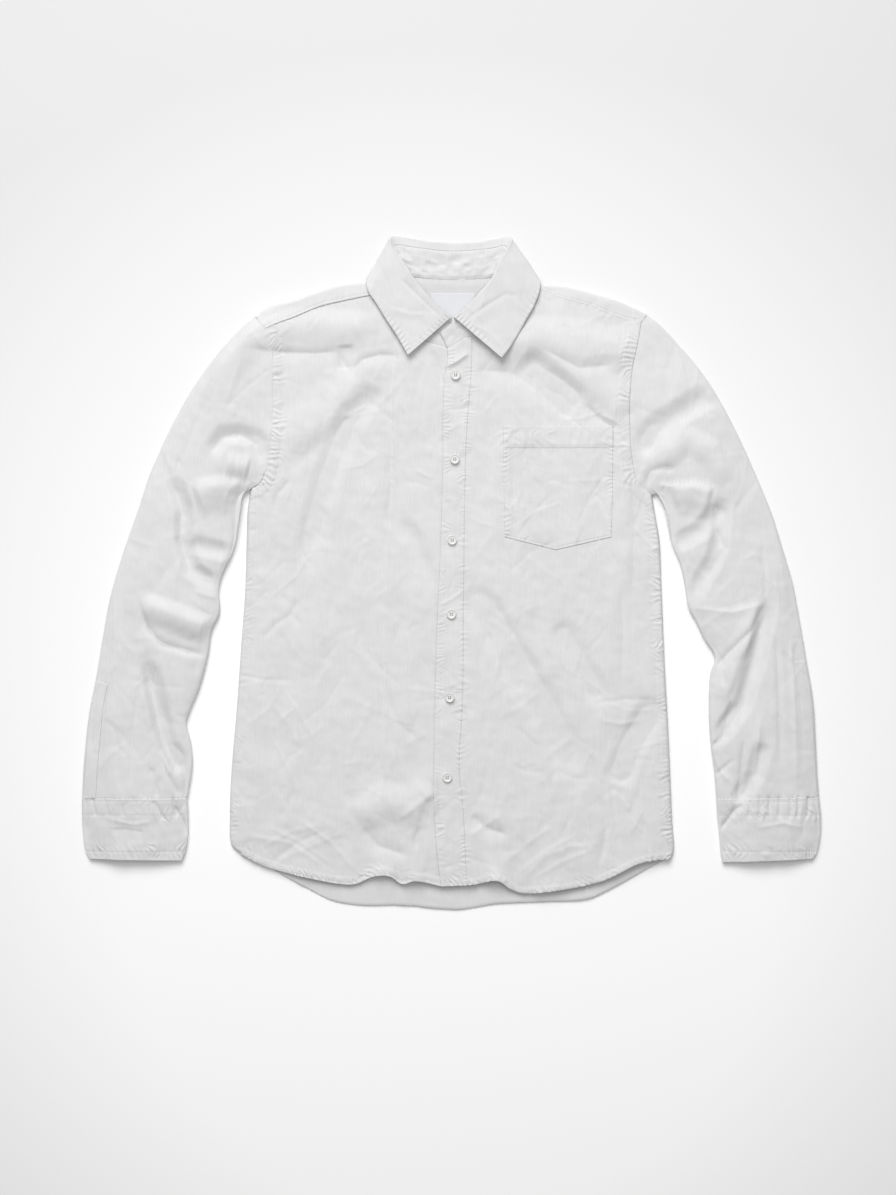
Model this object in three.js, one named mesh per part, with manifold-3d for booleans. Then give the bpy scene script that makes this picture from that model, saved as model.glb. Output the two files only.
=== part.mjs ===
// A white long-sleeved shirt of crumpled cotton, laid face up on a flat surface.
// Millimetres, +Z up. The underside rests at z = 0, +Y points to the collar and
// +X to the wearer's left. "right" and "left" are the wearer's own sides.
// Every panel is a wall of cloth with its own front and back surface. One relief
// function gives the height of the uppermost cloth, so panels meet at their seams.

import * as THREE from 'three';
import { mergeVertices } from 'three/addons/utils/BufferGeometryUtils.js';
import Module from 'manifold-3d';

// ---------------------------------------------------------------- driving sizes

const CLOTH = 1.2; // one wall of shirting with its air and crumple
const COLLAR_CLOTH = 1.2; // two plies and an interlining, pressed
const BAND_CLOTH = 1.4; // the collar stand
const CUFF_CLOTH = 1.5; // two plies and an interlining
const LABEL_CLOTH = 0.6;
const GAP = 0.3; // clearance between two pieces at a seam
const LEAF_GAP = 1.3; // the leaf over the stand, which twists at its corners
const STAND_GAP = 0.9; // the stand over the neck seam, measured in its middle
const BUTTON_GAP = 0.55; // a flat button over curved cloth

const EDGE_TOP = 2.8; // height of the upper cloth right at a fold or side seam
const EDGE_ROUND = { rise: 2.7, reach: 6 }; // how quickly it rounds up from there
const PUFF = { body: 3, sleeve: 8, reach: 45 }; // air held inside body and sleeves
const AIR_CHANGE = { from: 215, over: 60 }; // where, from the middle, body air turns to sleeve air
const LEAST_RISE = 0.2; // of the rounding that every place keeps, however deep its folds
const EDGE_FADE = { over: 14, least: 0.1 }; // folds die out over this length at a fold edge
const END_FADE = { steep: 4.5, least: 0.25 }; // and towards their own two ends
const BODY_HALF = 265; // no hem wave lies further from the middle
const TUBE_SIDE = 1.8; // height of the outermost line of a flattened tube
const TUBE_INSET = 2; // the underside starts this far inside that line

const YOKE_LIFT = { z: 1.9, from: 330, to: 337.5 }; // yoke rides over the collar leaf
const YOKE_FOLD = 3; // roundness of the shoulder fold in plan

const BUTTON = { radius: 5.7, height: 2.4, rim: 1.1, dish: 0.6, hole: 0.9, spread: 1.5 };
const CUFF_LIFT = { z: 3, across: 45, along: 38, steep: 1.9 }; // the cuff bridges the button under it
const SLEEVE_HEAD = { reach: 0.55, underarm: 0.06, shoulder: 0.12 }; // how the armhole's bend dies out
const YOKE_FEET = 0.35; // the shoulder sections' feet draw in to this share of the armhole's x
// the leaf's bend: grip is how far it runs straight at the roll, rise, fall and droop are shares
const LEAF_BEND = { grip: 4, foldedGrip: 1.1, rise: 0.45, fall: 0.55, droop: 0.35 };
const BAND_STEP = 0.01; // for the direction of the band's top edge

// mesh rows and columns; pieces that share a seam share its points
const ARMHOLE_ROWS = 10;
const SIDE_ROWS = 22;
const BACK_SIDE_ROWS = 11;
const YOKE_COLUMNS = 7;
const NECK_COLUMNS = 5;
const FRONT_COLUMNS = YOKE_COLUMNS + NECK_COLUMNS;
const SLEEVE_ROWS = 25;
const COLLAR_STATIONS = 36;
const ARMHOLE_SHARE = 0.29; // of a front's depth

// ------------------------------------------------------------------- outlines
// Each is a short run of points along one seam or one edge, collar to hem or
// neck to armhole, as [x, y].

const OUTLINE = {
  right: {
    shoulder: [[-69, 346.5], [-96, 341.5], [-126, 338.5], [-155, 331], [-185, 320], [-213, 313], [-230, 301]],
    yokeSeam: [[-71, 329], [-96, 326], [-126, 320], [-155, 313], [-185, 300], [-201, 294], [-218, 286]],
    neck: [[-71, 329], [-69, 316], [-62, 301], [-50, 287], [-34, 274], [-3.5, 263]],
    armhole: [[-230, 301], [-218, 286], [-213, 268], [-212, 237], [-212, 168], [-215, 139],
      [-220, 115], [-227, 103], [-235, 100]],
    side: [[-235, 100], [-239, 74], [-240, 44], [-242, -21], [-247, -91], [-252, -162],
      [-258, -233], [-260, -286], [-258, -322], [-248, -331]],
    hem: [[-248, -331], [-219, -345], [-178, -356], [-130, -365], [-113, -365], [-89, -355],
      [-71, -355], [-57, -364], [-42, -360], [-11, -366]],
  },
  left: {
    shoulder: [[70, 345], [103, 339], [136, 336], [171, 327], [200, 318], [231, 303]],
    yokeSeam: [[82, 331], [112, 331], [126, 324], [162, 314], [194, 301], [224, 292]],
    neck: [[82, 331], [76, 315], [65, 302], [48, 291], [25, 280]],
    armhole: [[231, 303], [224, 292], [221, 274], [214, 239], [211, 204], [211, 168], [213, 139],
      [219, 109], [227, 99], [237, 91]],
    side: [[237, 91], [241, 68], [246, 38], [248, -9], [252, -103], [257, -198], [261, -292],
      [263, -327], [260, -337]],
    hem: [[260, -337], [224, -342], [176, -364], [112, -376], [82, -377], [70, -372], [58, -363],
      [49, -362], [35, -366], [19, -368]],
  },
};

const BACK_HEM = [[-248, -331], [-213, -349], [-174, -370], [-142, -386], [-107, -392], [-60, -392],
  [11, -397], [58, -390], [106, -388], [165, -384], [194, -371], [235, -349], [260, -337]];

// the button placket: the edge of the left front, and its stitch line
const PLACKET_EDGE = [[-3.5, 263], [-3, 250], [-7, 225], [-9, 109], [-12, 15], [-16, -80], [-19, -221],
  [-19, -268], [-16, -327], [-11, -369]];
const PLACKET_STITCH = [[25, 280], [25, 258], [24, 233], [19, 168], [17, 109], [15, -56], [14, -150],
  [10, -233], [14, -268], [19, -368]];

const BUTTONS = [
  { name: 'button_1', x: 6, y: 232 },
  { name: 'button_2', x: 5, y: 133 },
  { name: 'button_3', x: 2, y: 38 },
  { name: 'button_4', x: 1, y: -49 },
  { name: 'button_5', x: -1, y: -147 },
  { name: 'button_6', x: -4, y: -241 },
];

const POCKET = {
  left: 64, right: 189, top: 172, bottom: 42, point: { x: 124, y: 27 }, lean: 2, clearance: 0.75,
};
const SLIT_CLEARANCE = 0.7; // a sleeve placket over its sleeve's facets
const LABEL = { x: 2.5, y: 311, width: 52, height: 36 };

// sleeve sections from the armhole to the cuff seam: the outer fold and the inner
// fold of the flattened tube
const SLEEVE = {
  right: [
    { outer: [-248, 286], inner: [-240, 97] },
    { outer: [-279, 251], inner: [-250, 88] },
    { outer: [-307, 211], inner: [-253, 62] },
    { outer: [-331, 167], inner: [-255, 36] },
    { outer: [-343, 141], inner: [-258, 22] },
    { outer: [-355, 113], inner: [-270, -5] },
    { outer: [-365, 82], inner: [-273, -21] },
    { outer: [-378, 45], inner: [-272, -47] },
    { outer: [-390, 9], inner: [-281, -68] },
    { outer: [-402, -35], inner: [-286, -99] },
    { outer: [-410, -80], inner: [-296, -136] },
    { outer: [-418, -127], inner: [-307, -163] },
    { outer: [-425, -162], inner: [-311, -177] },
    { outer: [-429, -194], inner: [-306, -199] },
    { outer: [-432, -227], inner: [-304, -226] },
    { outer: [-434, -266], inner: [-310, -266] },
  ],
  left: [
    { outer: [247, 291], inner: [243, 92] },
    { outer: [271, 265], inner: [250, 86] },
    { outer: [294, 238], inner: [257, 72] },
    { outer: [318, 201], inner: [260, 50] },
    { outer: [342, 154], inner: [262, 32] },
    { outer: [362, 109], inner: [271, 9] },
    { outer: [379, 67], inner: [277, -21] },
    { outer: [388, 38], inner: [280, -41] },
    { outer: [395, 15], inner: [289, -58] },
    { outer: [402, -9], inner: [298, -77] },
    { outer: [411, -56], inner: [311, -100] },
    { outer: [419, -103], inner: [306, -119] },
    { outer: [427, -150], inner: [304, -152] },
    { outer: [430, -198], inner: [306, -198] },
    { outer: [432, -240], inner: [311, -238] },
    { outer: [434, -264], inner: [313, -267] },
  ],
};

// cuff sections from the cuff seam to its open end
const CUFF = {
  right: [
    { outer: [-434, -266], inner: [-310, -266] },
    { outer: [-434, -286], inner: [-309, -286] },
    { outer: [-433, -304], inner: [-309, -308] },
    { outer: [-430, -327], inner: [-312, -328] },
    { outer: [-425, -337], inner: [-316, -339] },
  ],
  left: [
    { outer: [434, -264], inner: [313, -267] },
    { outer: [436, -286], inner: [314, -286] },
    { outer: [436, -304], inner: [316, -305] },
    { outer: [432, -327], inner: [318, -328] },
    { outer: [427, -337], inner: [320, -341] },
  ],
};

// collar sections, wearer's right end to left end. seam: where the stand joins the
// shirt; band: where the leaf joins the stand; roll: the fold of the leaf; edge: its
// cut edge. turn: how steeply the leaf leaves the roll, 90 where it folds flat under
// the back and 0 where it lies over the fronts.
const COLLAR = [
  { seam: [-4, 264, 7.4], band: [-1, 293, 9.6], roll: [0, 298.5, 15.5], edge: [-50, 255, 17.3], turn: 0 },
  { seam: [-28, 272, 7.9], band: [-7, 297.5, 10.4], roll: [-4, 302, 16.5], edge: [-51, 257, 17], turn: 0 },
  { seam: [-45, 284, 7.9], band: [-18, 306, 11], roll: [-15, 310, 17], edge: [-56, 266, 16], turn: 0 },
  { seam: [-56, 299, 7.9], band: [-33, 322, 11.5], roll: [-30, 326, 17.5], edge: [-64, 280, 14], turn: 0 },
  { seam: [-63, 315, 7.6], band: [-47, 340, 11.5], roll: [-45, 345, 17.5], edge: [-76, 298, 13], turn: 0 },
  { seam: [-64, 329, 7], band: [-58.5, 359, 10.5], roll: [-58, 364, 16], edge: [-87, 316, 12], turn: 5 },
  { seam: [-60, 341, 6.2], band: [-64.5, 373, 9], roll: [-66, 378, 13], edge: [-97, 332, 10.5], turn: 15 },
  { seam: [-55, 348, 4.8], band: [-66.5, 383, 7], roll: [-71, 392, 8], edge: [-97.5, 346.5, 4.6], turn: 60 },
  { seam: [-51, 350, 3.6], band: [-61, 385, 5], roll: [-67, 395, 4.5], edge: [-84, 342.5, 1], turn: 80 },
  { seam: [-43, 349, 3], band: [-52, 384, 3.8], roll: [-58, 394.5, 2.4], edge: [-60, 339, 0.75], turn: 90 },
  { seam: [-24, 347, 2.8], band: [-31, 381, 3.2], roll: [-36, 391, 1.9], edge: [-34, 340, 0.75], turn: 90 },
  { seam: [0, 346, 2.8], band: [0, 378, 3.1], roll: [0, 388, 1.8], edge: [0, 341, 0.75], turn: 90 },
  { seam: [24, 346.5, 2.8], band: [31, 379.5, 3.2], roll: [34, 389.5, 1.9], edge: [34, 340, 0.75], turn: 90 },
  { seam: [44, 348, 3], band: [52, 382, 3.8], roll: [57, 393, 2.4], edge: [62, 339, 0.75], turn: 90 },
  { seam: [51, 349, 3.6], band: [61, 384, 5], roll: [67, 394.5, 4.5], edge: [88, 341.5, 1], turn: 80 },
  { seam: [55, 347, 4.8], band: [66.5, 382, 7], roll: [72, 391.5, 8], edge: [105, 344, 4.6], turn: 60 },
  { seam: [60, 341, 6.2], band: [65, 372, 9], roll: [67, 377, 13], edge: [104, 330, 10.5], turn: 15 },
  { seam: [66, 329, 7], band: [58.5, 358, 10.5], roll: [58, 363, 16], edge: [98, 314, 12], turn: 5 },
  { seam: [66, 314, 7.6], band: [51, 337, 11.5], roll: [49, 342, 17.5], edge: [88, 296, 13], turn: 0 },
  { seam: [62, 303, 8.2], band: [39, 322, 12.5], roll: [35, 326, 18.5], edge: [78, 278, 14], turn: 0 },
  { seam: [49, 293, 8.8], band: [27, 310, 12.5], roll: [23, 314, 18.5], edge: [68, 262, 16], turn: 0 },
  { seam: [33, 284, 9.4], band: [15, 299, 12.5], roll: [12, 303, 18.5], edge: [61, 253, 17], turn: 0 },
  { seam: [15, 275, 9.8], band: [6.5, 294, 12.2], roll: [5, 298.5, 18.5], edge: [60, 251.5, 17.3], turn: 0 },
];
// the stand runs on past the leaf at both ends, the left end over the right
const BAND_ENDS = {
  right: { seam: [22, 279, 7], band: [15, 294, 8.2] },
  left: { seam: [-3.5, 264, 9.8], band: [-12, 282, 10.6] },
};

// yoke sections from a neck corner to the middle: foot is x at the back seam; where
// the neck is cut out, the section ends at a y instead of at a flap
const NECK = {
  right: [
    { foot: -66, ridge: [-65, 348], flap: [-66, 339] },
    { foot: -60, ridge: [-60, 351], ends: 351.3 },
    { foot: -54, ridge: [-54, 354.5], ends: 349.8 },
    { foot: -42, ridge: [-42, 355], ends: 348.5 },
    { foot: -22, ridge: [-22, 355], ends: 346.5 },
    { foot: 0, ridge: [0, 355], ends: 345.5 },
  ],
  left: [
    { foot: 67, ridge: [66, 347], flap: [71, 339] },
    { foot: 60, ridge: [60, 350.5], ends: 350.8 },
    { foot: 54, ridge: [54, 354.5], ends: 349.3 },
    { foot: 42, ridge: [42, 355], ends: 347.5 },
    { foot: 22, ridge: [22, 355], ends: 346 },
  ],
};

const CUFF_BUTTON = {
  right: { name: 'cuff_button_right', x: -392, y: -303 },
  left: { name: 'cuff_button_left', x: 396, y: -303 },
};
const BAND_BUTTON = { name: 'button_collar', x: 23, y: 291, z: 12.1 };

// ------------------------------------------------------------------- the folds
// The large folds of the crumpled cloth. path: the crest or the bottom of the fold;
// lift: its height, below zero for a trough; fore and aft: its width to the left
// and to the right of the path's direction.

const FOLDS = [
  // right front
  { path: [[-300, 195], [-268, 246], [-236, 282], [-180, 292], [-120, 290], [-84, 284]], lift: 5.5, fore: 22, aft: 32 },
  { path: [[-124, 268], [-122, 238]], lift: -3, fore: 14, aft: 14 },
  { path: [[-205, 138], [-150, 180], [-124, 204], [-80, 240]], lift: 5, fore: 42, aft: 24 },
  { path: [[-174, 10], [-148, 109], [-120, 180], [-90, 222]], lift: -4, fore: 20, aft: 24 },
  { path: [[-63, 170], [-62, 62], [-42, 38], [-16, -30]], lift: -2.6, fore: 16, aft: 18 },
  { path: [[-112, -292], [-78, -268], [-44, -276], [-20, -250]], lift: 4.5, fore: 30, aft: 32 },
  // left front
  { path: [[62, 258], [100, 276], [150, 272], [185, 262], [216, 262]], lift: 5, fore: 30, aft: 30 },
  { path: [[104, 246], [150, 200]], lift: -3, fore: 20, aft: 20 },
  { path: [[20, -18], [47, -56], [82, -115], [118, -174], [144, -240]], lift: -4.2, fore: 30, aft: 26 },
  { path: [[125, -60], [147, -97], [180, -156]], lift: -2.5, fore: 20, aft: 18 },
  { path: [[184, -236], [214, -200], [244, -158]], lift: 4, fore: 22, aft: 28 },
  // right sleeve
  { path: [[-282, 138], [-266, 160], [-248, 162], [-230, 156], [-217, 127]], lift: -4.5, fore: 16, aft: 13 },
  { path: [[-264, 128], [-236, 122]], lift: 4.5, fore: 18, aft: 20 },
  { path: [[-326, 112], [-313, 74], [-314, 38], [-304, 4], [-272, -20]], lift: -6, fore: 14, aft: 14 },
  { path: [[-302, 94], [-272, 100], [-244, 96]], lift: 6, fore: 16, aft: 36 },
  { path: [[-308, 34], [-248, 20]], lift: -4, fore: 14, aft: 14 },
  { path: [[-362, -36], [-320, -52], [-276, -70]], lift: 6, fore: 20, aft: 28 },
  { path: [[-357, -104], [-343, -168], [-334, -204], [-314, -234]], lift: -5, fore: 16, aft: 14 },
  // left sleeve
  { path: [[226, 138], [241, 166], [261, 180], [283, 194], [310, 208]], lift: -6, fore: 22, aft: 16 },
  { path: [[238, 130], [277, 156], [306, 142], [326, 104]], lift: 4.5, fore: 18, aft: 22 },
  { path: [[258, 94], [285, 98], [308, 92]], lift: 5.5, fore: 12, aft: 34 },
  { path: [[260, 30], [294, 50], [318, 80]], lift: -4, fore: 14, aft: 15 },
  { path: [[321, 90], [318, 50], [309, 15], [280, -36]], lift: -5, fore: 14, aft: 14 },
  { path: [[374, -30], [356, -110], [342, -155], [312, -198]], lift: -6, fore: 15, aft: 14 },
  { path: [[368, -36], [336, -104], [320, -150]], lift: 3.5, fore: 10, aft: 20 },
  { path: [[367, -200], [357, -236], [334, -272]], lift: -4, fore: 13, aft: 13 },
];

// waves of the open front hem, as bumps centred on x
const HEM_WAVES = [
  { x: -178, width: 45, lift: 1.5 }, { x: -81, width: 22, lift: 6 }, { x: -40, width: 16, lift: 4 },
  { x: 54, width: 22, lift: 6.5 }, { x: 120, width: 40, lift: 2 }, { x: 205, width: 45, lift: 3 },
];
const HEM_REACH = 42; // how far a wave runs up the front from the hem

// ---------------------------------------------------------------- small helpers

const vec = (x, y, z = 0) => new THREE.Vector3(x, y, z);
const lerp = THREE.MathUtils.lerp;
const clamp01 = (t) => THREE.MathUtils.clamp(t, 0, 1);
const easeInOut = (t) => THREE.MathUtils.smoothstep(t, 0, 1);
const steps = (count) => Array.from({ length: count + 1 }, (_, i) => i / count);

/** A smooth curve through points, called with 0 to 1 along its length. */
function curve(points) {
  const spline = new THREE.CatmullRomCurve3(points.map((p) => vec(...p)), false, 'centripetal');
  spline.arcLengthDivisions = 40 * points.length;
  return (t) => spline.getPointAt(clamp01(t));
}

/** A plan patch between four edges: u runs from near to far, v from head to foot. */
function patch(head, foot, near, far) {
  const corner = { a: head(0), b: head(1), c: foot(0), d: foot(1) };
  return (u, v) => {
    const across = near(v).lerp(far(v), u);
    const down = head(u).lerp(foot(u), v);
    const flat = corner.a.clone().lerp(corner.b, u).lerp(corner.c.clone().lerp(corner.d, u), v);
    return across.add(down).sub(flat);
  };
}

/** Shortest distance from (x, y) to a run of points, with the side and the place. */
function nearest(points, x, y) {
  let best = { distance: Infinity, side: 1, along: 0 };
  for (let i = 0; i + 1 < points.length; i += 1) {
    const [ax, ay] = points[i];
    const [dx, dy] = [points[i + 1][0] - ax, points[i + 1][1] - ay];
    const t = clamp01(((x - ax) * dx + (y - ay) * dy) / (dx * dx + dy * dy));
    const [ox, oy] = [x - ax - dx * t, y - ay - dy * t];
    const distance = Math.hypot(ox, oy);
    if (distance < best.distance) {
      best = { distance, side: Math.sign(dx * oy - dy * ox) || 1, along: (i + t) / (points.length - 1) };
    }
  }
  return best;
}

// ------------------------------------------------------------ height of the cloth

const FOLD_EDGES = ['right', 'left'].flatMap((side) => {
  const sections = SLEEVE[side].concat(CUFF[side]);
  const { armhole, shoulder, side: sideSeam } = OUTLINE[side];
  return [
    shoulder,
    sideSeam,
    [shoulder.at(-1), ...sections.map((section) => section.outer)],
    [armhole.at(-1), ...sections.map((section) => section.inner)],
  ];
});

const FRONT_HEM = [...OUTLINE.right.hem, ...[...OUTLINE.left.hem].reverse()];

function foldHeight(fold, x, y) {
  const { distance, side, along } = nearest(fold.path, x, y);
  const reach = side > 0 ? fold.fore : fold.aft;
  const across = Math.max(0, 1 - (distance / reach) ** 2) ** 2;
  const ends = easeInOut(clamp01(END_FADE.steep * Math.min(along, 1 - along) + END_FADE.least));
  return fold.lift * across * ends;
}

function hemHeight(x, y) {
  const { distance } = nearest(FRONT_HEM, x, y);
  const near = (1 - clamp01(distance / HEM_REACH)) ** 2;
  const waves = HEM_WAVES.reduce((sum, wave) => sum
    + wave.lift * Math.max(0, 1 - ((x - wave.x) / wave.width) ** 2) ** 2, 0);
  return near * (waves - PUFF.body);
}

/** Height of the top of the uppermost cloth of the body and the sleeves. */
function relief(x, y) {
  const inside = Math.min(...FOLD_EDGES.map((edge) => nearest(edge, x, y).distance));
  const round = Math.sqrt(1 - (1 - clamp01(inside / EDGE_ROUND.reach)) ** 2);
  const puff = 1 - (1 - clamp01(inside / PUFF.reach)) ** 2;
  const outwards = easeInOut(clamp01((Math.abs(x) - AIR_CHANGE.from) / AIR_CHANGE.over));
  const air = lerp(PUFF.body, PUFF.sleeve, outwards);
  const calm = EDGE_TOP + EDGE_ROUND.rise * round + air * puff;
  const folds = FOLDS.reduce((sum, fold) => sum + foldHeight(fold, x, y), 0);
  const onBody = Math.abs(x) < BODY_HALF ? hemHeight(x, y) : 0;
  const free = calm + (folds + onBody) * clamp01(inside / EDGE_FADE.over + EDGE_FADE.least);
  return Math.max(EDGE_TOP + LEAST_RISE * round, free);
}

/** How far the yoke's lower wall rides up over the collar leaf folded under it. */
const yokeLift = (y) => YOKE_LIFT.z
  * easeInOut(clamp01((y - YOKE_LIFT.from) / (YOKE_LIFT.to - YOKE_LIFT.from)));

// -------------------------------------------------------------- making of solids

/** A closed solid between two grids of points. wrap joins the last column to the
    first; mirrored splits each cell along its other diagonal. */
function wallBetween(outer, inner, { wrap = false, mirrored = false } = {}) {
  const rows = outer.length;
  const columns = outer[0].length;
  const points = [...outer.flat(), ...inner.flat()];
  const at = (layer, row, column) => (layer * rows + row) * columns + (column % columns);
  const faces = [];
  const quad = (a, b, c, d) => faces.push(...(mirrored ? [b, c, d, b, d, a] : [a, b, c, a, c, d]));
  const lastColumn = wrap ? columns : columns - 1;
  for (let row = 0; row + 1 < rows; row += 1) {
    for (let column = 0; column < lastColumn; column += 1) {
      const corners = [[row, column], [row, column + 1], [row + 1, column + 1], [row + 1, column]];
      const [a, b, c, d] = corners.map((corner) => at(0, ...corner));
      const [e, f, g, h] = corners.map((corner) => at(1, ...corner));
      quad(a, b, c, d);
      faces.push(...(mirrored ? [h, g, f, h, f, e] : [e, h, g, e, g, f]));
    }
  }
  for (let column = 0; column < lastColumn; column += 1) {
    quad(at(0, 0, column + 1), at(0, 0, column), at(1, 0, column), at(1, 0, column + 1));
    quad(at(0, rows - 1, column), at(0, rows - 1, column + 1), at(1, rows - 1, column + 1), at(1, rows - 1, column));
  }
  for (let row = 0; !wrap && row + 1 < rows; row += 1) {
    const last = columns - 1;
    quad(at(0, row, 0), at(0, row + 1, 0), at(1, row + 1, 0), at(1, row, 0));
    quad(at(0, row + 1, last), at(0, row, last), at(1, row, last), at(1, row + 1, last));
  }
  return facingOut(points, faces);
}

/** A geometry from points and faces, turned so that its faces point outwards. */
function facingOut(points, faces) {
  let volume = 0;
  for (let i = 0; i < faces.length; i += 3) {
    const [a, b, c] = [points[faces[i]], points[faces[i + 1]], points[faces[i + 2]]];
    volume += a.dot(b.clone().cross(c));
  }
  const geometry = new THREE.BufferGeometry().setFromPoints(points);
  geometry.setIndex(volume < 0 ? faces.reverse() : faces);
  geometry.computeVertexNormals();
  return geometry;
}

/** The grid moved along its own surface normals by a distance. */
function offsetGrid(grid, distance) {
  const [lastRow, lastColumn] = [grid.length - 1, grid[0].length - 1];
  return grid.map((line, row) => line.map((point, column) => {
    const [before, after] = [Math.max(column - 1, 0), Math.min(column + 1, lastColumn)];
    const [above, below] = [Math.max(row - 1, 0), Math.min(row + 1, lastRow)];
    const along = line[after].clone().sub(line[before]);
    const down = grid[below][column].clone().sub(grid[above][column]);
    return point.clone().addScaledVector(along.cross(down).normalize(), distance);
  }));
}

/** A wall of a given thickness with the grid in its middle. */
const wallAround = (grid, thickness) => wallBetween(
  offsetGrid(grid, thickness / 2),
  offsetGrid(grid, -thickness / 2),
);

/** Moves a whole grid straight down. */
const lowered = (grid, drop) => grid.map((line) => line.map((p) => vec(p.x, p.y, p.z - drop)));

/** A wall whose top surface is given by heights over plan points. */
function wallUnder(plan, top, options) {
  const upper = plan.map((line) => line.map((p) => vec(p.x, p.y, top(p.x, p.y))));
  return wallBetween(upper, lowered(upper, CLOTH), options);
}

// ------------------------------------------------------------ points along the seams

/** Points down an armhole, from the yoke's corner to the underarm. */
function armholePoints(side) {
  const line = curve(OUTLINE[side].armhole.slice(1));
  return steps(ARMHOLE_ROWS).map(line);
}

const shoulderPoint = (side) => vec(...OUTLINE[side].armhole[0]);

/** Points along the yoke's front seam, from the armhole to the neck. */
function yokeSeamPoints(side) {
  const line = curve([...OUTLINE[side].yokeSeam].reverse());
  return steps(YOKE_COLUMNS).map(line);
}

/** A broken line through points, with equal shares of 0 to 1 for its stretches. */
const throughPoints = (points) => (t) => {
  const place = clamp01(t) * (points.length - 1);
  const first = Math.min(Math.floor(place), points.length - 2);
  return points[first].clone().lerp(points[first + 1], place - first);
};

/** Two runs one after the other, the first over a share of 0 to 1. */
const inTurn = (first, second, share) => (t) => (
  t <= share ? first(t / share) : second((t - share) / (1 - share))
);

/** The matching shares of 0 to 1 for two runs with their own number of steps. */
const sharesOf = (firstSteps, secondSteps, share) => steps(firstSteps).map((t) => share * t)
  .concat(steps(secondSteps).slice(1).map((t) => share + (1 - share) * t));

// ---------------------------------------------------------------- the body panels

/** Plan rows of a front, side seam first, with the placket's lines as last columns. */
function frontPlan(side) {
  const { neck, side: sideSeam, hem } = OUTLINE[side];
  const [edge, stitch] = [curve(PLACKET_EDGE), curve(PLACKET_STITCH)];
  const lines = side === 'left' ? [stitch, edge] : [edge, stitch];
  const outward = side === 'left' ? 1 : -1;
  const head = inTurn(throughPoints(yokeSeamPoints(side)), curve(neck), YOKE_COLUMNS / FRONT_COLUMNS);
  const near = inTurn(throughPoints(armholePoints(side)), curve(sideSeam), ARMHOLE_SHARE);
  const panel = patch(head, curve(hem), near, lines[0]);
  return sharesOf(ARMHOLE_ROWS, SIDE_ROWS, ARMHOLE_SHARE).map((v, index) => {
    const row = steps(FRONT_COLUMNS).map((u) => panel(u, v))
      .concat([lines[0](v).lerp(lines[1](v), 0.5), lines[1](v)]);
    row[0].x -= outward * GAP;
    if (index === 0) row.forEach((p) => { p.y -= GAP; });
    return row;
  });
}

/** The left front, and the strip with the buttonholes on it, share their split. */
const LEFT = { mirrored: true };

const frontLeft = () => wallUnder(frontPlan('left'), relief, LEFT);

/** The right front runs on under the placket, one layer lower. */
function frontRight() {
  const upper = frontPlan('right').map((line) => line.map((p, column) => {
    const under = column >= FRONT_COLUMNS ? CLOTH + GAP : 0;
    return vec(p.x, p.y, relief(p.x, p.y) - under);
  }));
  return wallBetween(upper, lowered(upper, CLOTH));
}

/** The strip with the buttonholes, made from the left front's points, moved out. */
function buttonPlacket() {
  const strip = frontPlan('left').map((line) => line.slice(FRONT_COLUMNS));
  return wallUnder(strip, (x, y) => relief(x, y) + GAP + CLOTH, LEFT);
}

function pocket() {
  const { left, right, top, bottom, point, lean, clearance } = POCKET;
  const middle = (point.x - left) / (right - left);
  const across = [0, 0.16, 0.32, middle, 0.66, 0.83, 1];
  const grid = steps(6).map((v) => across.map((u) => {
    const dip = u < middle ? u / middle : (1 - u) / (1 - middle);
    const foot = lerp(bottom, point.y, dip);
    const widen = lean * (1 - v) * (2 * u - 1);
    return vec(lerp(left, right, u) + widen, lerp(top, foot, v));
  }));
  return wallUnder(grid, (x, y) => relief(x, y) + clearance + CLOTH);
}

/** Every second point of an armhole, from the yoke's back seam to the underarm. */
const backArmhole = (side) => armholePoints(side).filter((_, i) => i >= 2 && i % 2 === 0);

/** The straight seam of the back and the yoke, as a point at a given x. */
function backSeam(x) {
  const [a, b] = [backArmhole('right')[0], backArmhole('left')[0]];
  return a.clone().lerp(b, (x - a.x) / (b.x - a.x));
}

function back() {
  const edgeOf = (side) => (
    inTurn(throughPoints(backArmhole(side)), curve(OUTLINE[side].side), ARMHOLE_SHARE)
  );
  const [near, far] = [edgeOf('right'), edgeOf('left')];
  const head = (u) => near(0).lerp(far(0), u);
  const plan = patch(head, curve(BACK_HEM), near, far);
  const shares = sharesOf(4, BACK_SIDE_ROWS, ARMHOLE_SHARE);
  const grid = shares.map((v) => steps(12).map((u) => {
    const p = plan(u, v);
    return vec(p.x + GAP * (1 - 2 * u), p.y, CLOTH);
  }));
  return wallBetween(grid, lowered(grid, CLOTH));
}

// ------------------------------------------------------------------------ the yoke

const YOKE_LOWER = [0, 0.33, 0.667, 0.84, 0.92]; // shares of a section's lower run
const YOKE_TURN = 5; // steps round the shoulder fold
const YOKE_FLAP = 3; // steps from the fold to the front seam
const YOKE_NECK_END = 5; // last stretch of a section that ends at the neck

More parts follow.
